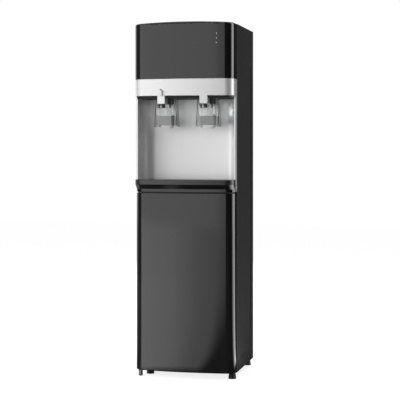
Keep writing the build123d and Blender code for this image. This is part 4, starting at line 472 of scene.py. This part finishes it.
def add_piece(name, mesh_tool, material, body):
    """Turn a bmesh into a finished piece that rides on a body."""
    mesh = bpy.data.meshes.new(name)
    bmesh.ops.recalc_face_normals(mesh_tool, faces=mesh_tool.faces)
    mesh_tool.to_mesh(mesh)
    mesh_tool.free()
    mesh.materials.append(material)
    piece = bpy.data.objects.new(name, mesh)
    bpy.context.scene.collection.objects.link(piece)
    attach(piece, body)
    return piece


class CoolerOperator:
    """Shared ground of the cooler's operators."""

    bl_options = {"REGISTER", "UNDO"}


class COOLER_OT_front(CoolerOperator, Operator):
    """Dress the fascia and door in polished black and the band and alcove in satin silver"""

    bl_idname = "cooler.front"
    bl_label = "Front mouldings"

    def execute(self, context):
        finishes = context.scene.cooler_finishes
        dress(["control_fascia", "door_panel", "mid_rail"], gloss_black(finishes))
        dress(["tap_band", "alcove_liner"], silver_paint(finishes))
        satin = moulding("satin_black_moulding", finishes, finishes.moulding_black, 0.34, FINE_GRAIN)
        dress(["drip_tray", "drip_grille"], satin)
        # Painted shade: black plastic made darker than the other mouldings to stand for the shade under the
        # head
        underside = moulding("underside_black_painted_shade", finishes, (0.008, 0.008, 0.008), 0.7, FINE_GRAIN)
        dress(["head_underside"], underside)
        return {"FINISHED"}


class COOLER_OT_cabinet(CoolerOperator, Operator):
    """Dress the sheet-steel cabinet, its crown, feet and the bottle space"""

    bl_idname = "cooler.cabinet"
    bl_label = "Cabinet"

    def execute(self, context):
        finishes = context.scene.cooler_finishes
        sheet = powder_coat(finishes)
        dress(["side_panel_left", "side_panel_right", "rear_panel"], sheet)
        dress(["base_pan", "machine_deck", "upper_shelf"], sheet)
        grained = moulding("grained_black_moulding", finishes, finishes.moulding_black, 0.5)
        dress(["top_cover", "feet", "door_liner", "door_bushes", "door_magnet"], grained)
        dress(["bottle_tray", "probe_holder"], grained)
        zinc = rolled_metal("zinc_plate", (0.55, 0.55, 0.56), 0.32)
        dress(["lower_hinge", "upper_hinge", "door_strike"], zinc)
        natural = moulding("natural_plastic", finishes, (0.72, 0.72, 0.7), 0.4, FINE_GRAIN)
        dress(["bottle_probe", "drain_pipe", "drain_cap"], natural)
        return {"FINISHED"}


class COOLER_OT_taps(CoolerOperator, Operator):
    """Dress the taps, levers, pads, guards and the lock slider"""

    bl_idname = "cooler.taps"
    bl_label = "Taps"

    def execute(self, context):
        finishes = context.scene.cooler_finishes
        black = moulding("tap_black", finishes, finishes.moulding_black, 0.36, 0.00003)
        dress(["hot_tap_body", "cold_tap_body", "spout_nozzles"], black)
        core = moulding("core_black", finishes, (0.004, 0.004, 0.004), 0.75, FINE_GRAIN)
        dress(["hot_lever_core", "cold_lever_core"], core)
        grey = moulding("pad_grey", finishes, finishes.pad_grey, 0.42, FINE_GRAIN)
        dress(["hot_lever_pad", "cold_lever_pad"], grey)
        dress(["child_lock"], silver_paint(finishes, "silver_slider"))
        dress(["hot_lever", "cold_lever", "splash_guards"], clear_moulding(finishes))
        dress(["lever_pins", "lever_springs"], rolled_metal("spring_steel", (0.62, 0.62, 0.61), 0.25))
        return {"FINISHED"}


class COOLER_OT_water(CoolerOperator, Operator):
    """Dress the tanks, hoses and the boards"""

    bl_idname = "cooler.water"
    bl_label = "Water side"

    def execute(self, context):
        dress(["cold_tank", "hot_tank"], rolled_metal("stainless_steel", (0.66, 0.65, 0.63), 0.2))
        bracket = rolled_metal("bracket_steel", (0.5, 0.5, 0.51), 0.35)
        dress(["hot_tank_stand", "condenser_brackets"], bracket)
        dress(["cold_tank_foam"], rigid_foam())
        dress(["feed_hoses", "tap_hoses", "probe_hose"], rubber("milky_silicone", (0.74, 0.74, 0.72), 0.35))
        dress(["control_board", "indicator_board"], circuit_board())
        dress(["indicator_lenses"], light_guide())
        return {"FINISHED"}


class COOLER_OT_cooling(CoolerOperator, Operator):
    """Dress the compressor, condenser and refrigerant lines"""

    bl_idname = "cooler.cooling"
    bl_label = "Cooling set"

    def execute(self, context):
        dress(["compressor", "condenser", "water_pump"], black_enamel())
        dress(["compressor_grommets"], rubber("black_rubber", (0.025, 0.025, 0.025), 0.6))
        dress(["refrigerant_lines"], rolled_metal("copper_tube", (0.72, 0.38, 0.24), 0.22))
        return {"FINISHED"}


class COOLER_OT_rear(CoolerOperator, Operator):
    """Dress the switches and the power inlet on the back"""

    bl_idname = "cooler.rear"
    bl_label = "Rear fittings"

    def execute(self, context):
        finishes = context.scene.cooler_finishes
        black = moulding("rear_black", finishes, finishes.moulding_black, 0.3, FINE_GRAIN)
        dress(["switch_plate", "hot_switch", "cold_switch", "power_inlet"], black)
        return {"FINISHED"}


# ---------------------------------------------------------------- small fittings

# Each ring of a pan head: its width as a share of the ring below, its rise as a share of the height
HEAD_RINGS = ((1.0, 0.45), (0.9, 0.35), (0.78, 0.2))
# Cross recess: reach as a share of the radius, narrowing of its slots, depth as a share of the height
RECESS_REACH = 0.48
RECESS_NARROWING = 0.5
RECESS_DEPTH = 0.6
# Turn in radians from one screw's recess to the next
SCREW_TURN = 0.7

# Marks on a rocker, as shares of the mark's half height
BAR_WIDTH = 0.28
BAR_HEIGHT = 1.8
RING_RADIUS = 0.8
RING_LINE = 0.13
# Thickness of the bar and bevel of its edges, in metres
BAR_THICKNESS = 0.0004
BAR_BEVEL = 0.0001
# How much deeper a rocker's middle lies than its two ends
ROCKER_VALLEY = 0.0015

# The door's plan: rise of its bow and radius of its front corners
DOOR_BOW = 0.012
DOOR_CORNER = 0.029
# Turn from the door's left side to where the lip begins, clear of the hinge
STRIP_START = math.radians(22.0)

# Vertices nearer than this are one
MERGE_DISTANCE = 0.00001


def mark_paint(finishes):
    """Pad-printed white ink, slightly uneven."""
    material, tree, shader = start_material("mark_paint")
    cloud = add_node(tree, "ShaderNodeTexNoise", Vector=object_place(tree), Scale=2400.0, Detail=2.0)
    base = tone_colour(tree, cloud.outputs["Fac"], (0.62, 0.62, 0.62), (0.76, 0.76, 0.76))
    tree.links.new(base, shader.inputs["Base Color"])
    varied_roughness(tree, shader, cloud.outputs["Fac"], 0.4, 0.55)
    return material


def verts_of(geometry):
    return [part for part in geometry if isinstance(part, bmesh.types.BMVert)]


def pan_head(tool, radius, height, place):
    """Pan head with a cross recess, its axis turned to the place's Z."""
    known = set(tool.verts)
    rim = bmesh.ops.create_circle(tool, segments=24, radius=radius)["verts"]
    edges = list({edge for vert in rim for edge in vert.link_edges})
    for scale, rise in HEAD_RINGS:
        grown = bmesh.ops.extrude_edge_only(tool, edges=edges)["geom"]
        edges = [part for part in grown if isinstance(part, bmesh.types.BMEdge)]
        bmesh.ops.scale(tool, vec=(scale, scale, 1.0), verts=verts_of(grown))
        bmesh.ops.translate(tool, vec=(0.0, 0.0, rise * height), verts=verts_of(grown))
    reach = radius * RECESS_REACH
    grid = bmesh.ops.create_grid(tool, x_segments=3, y_segments=3, size=reach)["verts"]
    for vert in grid:
        for axis in (0, 1):
            if abs(vert.co[axis]) < reach / 2:
                vert.co[axis] *= RECESS_NARROWING
    bmesh.ops.translate(tool, vec=(0.0, 0.0, height), verts=grid)
    faces = {face for vert in grid for face in vert.link_faces}
    corners = [face for face in faces if min(abs(c) for c in face.calc_center_median().xy) > reach / 4]
    bmesh.ops.delete(tool, geom=corners, context="FACES")
    cross = list(faces - set(corners))
    outline = list({edge for face in cross for edge in face.edges if edge.is_boundary})
    bmesh.ops.bridge_loops(tool, edges=edges + outline)
    sunk = bmesh.ops.extrude_face_region(tool, geom=cross)["geom"]
    bmesh.ops.delete(tool, geom=cross, context="FACES_ONLY")
    bmesh.ops.translate(tool, vec=(0.0, 0.0, -RECESS_DEPTH * height), verts=verts_of(sunk))
    bmesh.ops.transform(tool, matrix=place, verts=[vert for vert in tool.verts if vert not in known])


def panel_screws(fittings, material):
    """Pan-head screws down the two sides of the rear panel, each turned differently."""
    tool = bmesh.new()
    low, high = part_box("rear_panel")
    span = high[2] - low[2] - 2 * fittings.screw_end_inset
    for side in (-1, 1):
        for row in range(fittings.screw_rows):
            height = low[2] + fittings.screw_end_inset + span * row / (fittings.screw_rows - 1)
            middle = Matrix.Translation((side * (high[0] - fittings.screw_inset), high[1], height))
            rearward = Matrix.Rotation(math.radians(-90.0), 4, "X")
            turn = Matrix.Rotation(SCREW_TURN * row + side, 4, "Z")
            pan_head(tool, fittings.screw_head, fittings.screw_height, middle @ rearward @ turn)
    return add_piece("rear_panel_screws", tool, material, "cabinet")


def rocker_marks(name, body, fittings, material):
    """Bar and ring, the usual marks for on and off, on the two halves of a rocker."""
    low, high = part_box(name)
    size = fittings.mark_size
    middle_z = (low[2] + high[2]) / 2
    tilt = math.atan2(ROCKER_VALLEY, (high[2] - low[2]) / 2)
    offset = (high[2] - low[2]) / 4
    centre_x = (low[0] + high[0]) / 2
    half_way = high[1] - ROCKER_VALLEY / 2
    tool = bmesh.new()
    bar = bmesh.ops.create_cube(tool, size=1.0)["verts"]
    bmesh.ops.scale(tool, vec=(BAR_WIDTH * size, BAR_THICKNESS, BAR_HEIGHT * size), verts=bar)
    bmesh.ops.bevel(
        tool, geom=tool.edges[:], offset=BAR_BEVEL, segments=2, profile=0.5, affect="EDGES", material=-1
    )
    bar = set(tool.verts)
    bmesh.ops.rotate(tool, cent=(0, 0, 0), matrix=Matrix.Rotation(-tilt, 3, "X"), verts=list(bar))
    bmesh.ops.translate(tool, vec=(centre_x, half_way, middle_z + offset), verts=list(bar))
    wire = bmesh.ops.create_circle(tool, segments=8, radius=RING_LINE * size)["verts"]
    bmesh.ops.rotate(tool, cent=(0, 0, 0), matrix=Matrix.Rotation(math.radians(90.0), 3, "Y"), verts=wire)
    bmesh.ops.translate(tool, vec=(0.0, 0.0, RING_RADIUS * size), verts=wire)
    edges = list({edge for vert in wire for edge in vert.link_edges})
    bmesh.ops.spin(
        tool, geom=wire + edges, cent=(0, 0, 0), axis=(0, 1, 0), angle=2 * math.pi, steps=24, use_merge=True
    )
    ring = [vert for vert in tool.verts if vert not in bar]
    bmesh.ops.remove_doubles(tool, verts=ring, dist=MERGE_DISTANCE)
    ring = [vert for vert in tool.verts if vert not in bar]
    bmesh.ops.rotate(tool, cent=(0, 0, 0), matrix=Matrix.Rotation(tilt, 3, "X"), verts=ring)
    bmesh.ops.translate(tool, vec=(centre_x, half_way, middle_z - offset), verts=ring)
    return add_piece(name + "_marks", tool, material, body)


def door_gap_shade_sheet(fittings, material):
    """Thin dark lip under the rail, a sheet that stands in for the shade in the gap over the door, ending
    clear of the hinge.
    """
    rail_low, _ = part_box("mid_rail")
    door_low, door_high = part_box("door_panel")
    half = door_high[0]
    bow_radius = (half**2 + DOOR_BOW**2) / (2 * DOOR_BOW)
    bow_centre = door_low[1] + bow_radius
    reach = bow_radius - DOOR_CORNER
    corner_x = half - DOOR_CORNER
    corner_y = bow_centre - math.sqrt(reach**2 - corner_x**2)
    sweep = math.asin(corner_x / reach)
    tool = bmesh.new()
    end = tool.verts.new((-corner_x - (DOOR_CORNER - fittings.strip_inset), corner_y, 0.0))
    bmesh.ops.rotate(
        tool, cent=(-corner_x, corner_y, 0), matrix=Matrix.Rotation(STRIP_START, 3, "Z"), verts=[end]
    )
    turns = (
        ((-corner_x, corner_y, 0), math.pi / 2 - sweep - STRIP_START, 10),
        ((0, bow_centre, 0), 2 * sweep, 24),
        ((corner_x, corner_y, 0), math.pi / 2 - sweep, 12),
    )
    for centre, angle, steps in turns:
        swept = bmesh.ops.spin(tool, geom=[end], cent=centre, axis=(0, 0, 1), angle=angle, steps=steps)
        end = verts_of(swept["geom_last"])[0]
    bmesh.ops.remove_doubles(tool, verts=tool.verts[:], dist=MERGE_DISTANCE)
    bmesh.ops.translate(tool, vec=(0, 0, door_high[2] + fittings.strip_gap), verts=tool.verts[:])
    risen = bmesh.ops.extrude_edge_only(tool, edges=tool.edges[:])["geom"]
    rise = rail_low[2] - door_high[2] - fittings.strip_gap
    bmesh.ops.translate(tool, vec=(0, 0, rise), verts=verts_of(risen))
    bmesh.ops.recalc_face_normals(tool, faces=tool.faces[:])
    bmesh.ops.solidify(tool, geom=tool.faces[:], thickness=fittings.strip_thickness)
    return add_piece("door_gap_shade_sheet", tool, material, "cabinet")


class COOLER_OT_fittings(CoolerOperator, Operator):
    """Add the rear screws, the switch marks and the dark lip that stands in for the shade over the door"""

    bl_idname = "cooler.fittings"
    bl_label = "Small fittings"

    def execute(self, context):
        finishes = context.scene.cooler_finishes
        fittings = context.scene.cooler_fittings
        panel_screws(fittings, rolled_metal("blacked_screw", (0.09, 0.09, 0.095), 0.35, 0.0003))
        paint = mark_paint(finishes)
        rocker_marks("hot_switch", "hot_rocker", fittings, paint)
        rocker_marks("cold_switch", "cold_rocker", fittings, paint)
        # A near-black sheet stands in for the shade in the gap over the door
        door_gap_shade_sheet(fittings, rubber("gap_shade_black", (0.012, 0.012, 0.012), 0.6))
        return {"FINISHED"}


# ---------------------------------------------------------------- studio

# Brightness that gloss sees, by direction round the cooler in degrees from straight in front
GLOSS_PEAK = 6.0
GLOSS_WALLS = [
    (-180.0, 0.005), (-168.0, 0.01), (-150.0, 0.16), (-108.0, 0.16), (-90.0, 0.005), (-54.0, 0.005),
    (-38.0, 0.34), (-24.0, 0.29), (-3.0, 0.27), (9.0, 0.0), (76.0, 0.0), (104.0, 0.9), (118.0, 0.9),
    (130.0, 0.005), (179.0, 0.005),
]
GLOSS_FLOOR = [
    (-180.0, 0.0), (-168.0, 0.0), (-150.0, 0.08), (-108.0, 0.08), (-90.0, 0.0), (-54.0, 0.0),
    (-38.0, 0.44), (-24.0, 0.37), (0.0, 0.19), (9.0, 0.0), (76.0, 0.0), (104.0, 0.8), (118.0, 0.8),
    (130.0, 0.0), (179.0, 0.0),
]
# Radii on the floor between which gloss begins to see its brightness, clear of the cooler's foot
GLOSS_NEAR = 0.27
GLOSS_FAR = 0.38

# Tone of the floor where light falls on it, and where it is looked at
FLOOR_LIT = (0.12, 0.12, 0.12)
FLOOR_SEEN = (0.55, 0.55, 0.55)
# The key lamp is wide and low, and aims above the cooler's middle
KEY_STRETCH = 0.5
KEY_AIM = 0.75


def studio_lamp(name, power, size, place, target, stretch=1.0):
    """Area lamp that gloss doesn't see, aimed at a target."""
    data = bpy.data.lights.new(name, "AREA")
    data.shape = "RECTANGLE"
    data.energy = power
    data.size = size
    data.size_y = size * stretch
    lamp = bpy.data.objects.new(name, data)
    lamp.location = place
    lamp.visible_glossy = False
    lamp.rotation_euler = (Vector(target) - Vector(place)).to_track_quat("-Z", "Y").to_euler()
    bpy.context.scene.collection.objects.link(lamp)
    return lamp


def seen_rays(tree):
    """Tests for rays from the camera or through clear plastic, and for rays off gloss."""
    path = tree.nodes.new("ShaderNodeLightPath").outputs
    direct = add_math(tree, "MAXIMUM", path["Is Camera Ray"], path["Is Transmission Ray"])
    return direct, path["Is Glossy Ray"]


def gloss_surround(tree, place, levels):
    """What gloss sees in each direction round the cooler: soft boxes and dark gaps."""
    way = add_node(tree, "ShaderNodeSeparateXYZ", Vector=place).outputs
    turn = add_math(tree, "ARCTAN2", way["X"], add_math(tree, "MULTIPLY", way["Y"], -1.0))
    share = add_node(tree, "ShaderNodeMapRange", Value=turn, From_Min=-math.pi, From_Max=math.pi)
    ramp = add_node(tree, "ShaderNodeValToRGB", Fac=share.outputs["Result"])
    ramp.color_ramp.interpolation = "EASE"
    stops = ramp.color_ramp.elements
    for degrees, level in levels:
        stops.new((degrees + 180.0) / 360.0).color = (level, level, level, 1.0)
    stops.remove(stops[0])
    stops.remove(stops[-1])
    return add_math(tree, "MULTIPLY", ramp.outputs["Color"], GLOSS_PEAK)


def studio_floor(studio):
    """Pale floor that keeps the cooler's soft shadow and runs into the white background."""
    tool = bmesh.new()
    bmesh.ops.create_grid(tool, x_segments=2, y_segments=2, size=studio.floor_size / 2)
    mesh = bpy.data.meshes.new("studio_floor")
    tool.to_mesh(mesh)
    tool.free()
    floor = bpy.data.objects.new("studio_floor", mesh)
    bpy.context.scene.collection.objects.link(floor)
    material, tree, shader = start_material("studio_floor")
    shader.inputs["Roughness"].default_value = 0.9
    shader.inputs["Specular IOR Level"].default_value = 0.0
    direct, gloss = seen_rays(tree)
    tree.links.new(tone_colour(tree, direct, FLOOR_LIT, FLOOR_SEEN), shader.inputs["Base Color"])
    seen = add_math(tree, "MULTIPLY", direct, studio.floor_glow)
    place = object_place(tree)
    reach = add_node(tree, "ShaderNodeVectorMath", Vector=place)
    reach.operation = "LENGTH"
    clear = add_node(
        tree, "ShaderNodeMapRange", Value=reach.outputs["Value"], From_Min=GLOSS_NEAR, From_Max=GLOSS_FAR
    )
    shown = add_math(tree, "MULTIPLY", gloss_surround(tree, place, GLOSS_FLOOR), clear.outputs["Result"])
    glow = add_node(tree, "ShaderNodeEmission", Strength=add_mix(tree, "FLOAT", gloss, seen, shown))
    both = tree.nodes.new("ShaderNodeAddShader")
    tree.links.new(shader.outputs["BSDF"], both.inputs[0])
    tree.links.new(glow.outputs["Emission"], both.inputs[1])
    tree.links.new(both.outputs["Shader"], tree.nodes["Material Output"].inputs["Surface"])
    mesh.materials.append(material)


def studio_world(studio):
    """Even soft light, a white background for the camera, and the surround that gloss sees."""
    world = bpy.data.worlds.new("studio_world")
    world.use_nodes = True
    tree = world.node_tree
    tree.nodes.clear()
    direct, gloss = seen_rays(tree)
    place = tree.nodes.new("ShaderNodeTexCoord").outputs["Generated"]
    lit = add_mix(tree, "FLOAT", gloss, studio.sky, gloss_surround(tree, place, GLOSS_WALLS))
    strength = add_mix(tree, "FLOAT", direct, lit, 1.0)
    background = add_node(tree, "ShaderNodeBackground", Color=(1.0, 1.0, 1.0, 1.0), Strength=strength)
    out = tree.nodes.new("ShaderNodeOutputWorld")
    tree.links.new(background.outputs["Background"], out.inputs["Surface"])
    bpy.context.scene.world = world


class COOLER_OT_studio(CoolerOperator, Operator):
    """Set up the camera, the lamps, the pale floor and the background"""

    bl_idname = "cooler.studio"
    bl_label = "Studio"

    def execute(self, context):
        studio = context.scene.cooler_studio
        data = bpy.data.cameras.new("camera")
        data.sensor_width = 36.0
        data.lens = studio.lens
        data.shift_y = studio.horizon_shift
        data.clip_end = 100.0
        camera = bpy.data.objects.new("camera", data)
        camera.location = studio.camera_place
        camera.rotation_euler = (math.radians(90.0), 0.0, studio.azimuth)
        context.scene.collection.objects.link(camera)
        context.scene.camera = camera
        middle = (CAD_BOX[0] + CAD_BOX[1]) / 2
        high = (middle[0], middle[1], KEY_AIM)
        studio_lamp(
            "key_lamp", studio.key_power, size=2.2, place=(-2.2, -1.7, 0.86), target=high, stretch=KEY_STRETCH
        )
        studio_lamp("front_lamp", studio.front_power, size=1.2, place=(0.9, -3.4, 0.8), target=middle)
        studio_lamp("fill_lamp", studio.fill_power, size=1.0, place=(1.0, 0.9, 2.3), target=middle)
        studio_lamp("back_lamp", studio.back_power, size=1.6, place=(-0.8, 3.0, 1.6), target=middle)
        studio_floor(studio)
        studio_world(studio)
        context.scene.view_settings.view_transform = "Standard"
        return {"FINISHED"}


class COOLER_PT_sidebar(Panel):
    """The cooler's pieces and settings"""

    bl_label = "Water cooler"
    bl_idname = "COOLER_PT_sidebar"
    bl_space_type = "VIEW_3D"
    bl_region_type = "UI"
    bl_category = "Cooler"

    def draw(self, context):
        for operator in OPERATORS:
            self.layout.operator(operator.bl_idname)
        for name in ("cooler_finishes", "cooler_fittings", "cooler_studio"):
            box = self.layout.box()
            group = getattr(context.scene, name)
            for key in group.__annotations__:
                box.prop(group, key)


GROUPS = {
    "cooler_finishes": CoolerFinishes,
    "cooler_fittings": CoolerFittings,
    "cooler_studio": CoolerStudio,
}
OPERATORS = [
    COOLER_OT_front,
    COOLER_OT_cabinet,
    COOLER_OT_taps,
    COOLER_OT_water,
    COOLER_OT_cooling,
    COOLER_OT_rear,
    COOLER_OT_fittings,
    COOLER_OT_studio,
]


def register():
    for group in GROUPS.values():
        bpy.utils.register_class(group)
    for operator in OPERATORS:
        bpy.utils.register_class(operator)
    bpy.utils.register_class(COOLER_PT_sidebar)
    for name, group in GROUPS.items():
        setattr(bpy.types.Scene, name, PointerProperty(type=group))


def unregister():
    for name in GROUPS:
        delattr(bpy.types.Scene, name)
    bpy.utils.unregister_class(COOLER_PT_sidebar)
    for operator in reversed(OPERATORS):
        bpy.utils.unregister_class(operator)
    for group in reversed(list(GROUPS.values())):
        bpy.utils.unregister_class(group)


def main():
    register()
    bpy.ops.cooler.front()
    bpy.ops.cooler.cabinet()
    bpy.ops.cooler.taps()
    bpy.ops.cooler.water()
    bpy.ops.cooler.cooling()
    bpy.ops.cooler.rear()
    bpy.ops.cooler.fittings()
    bpy.ops.cooler.studio()


if __name__ == "__main__":
    main()
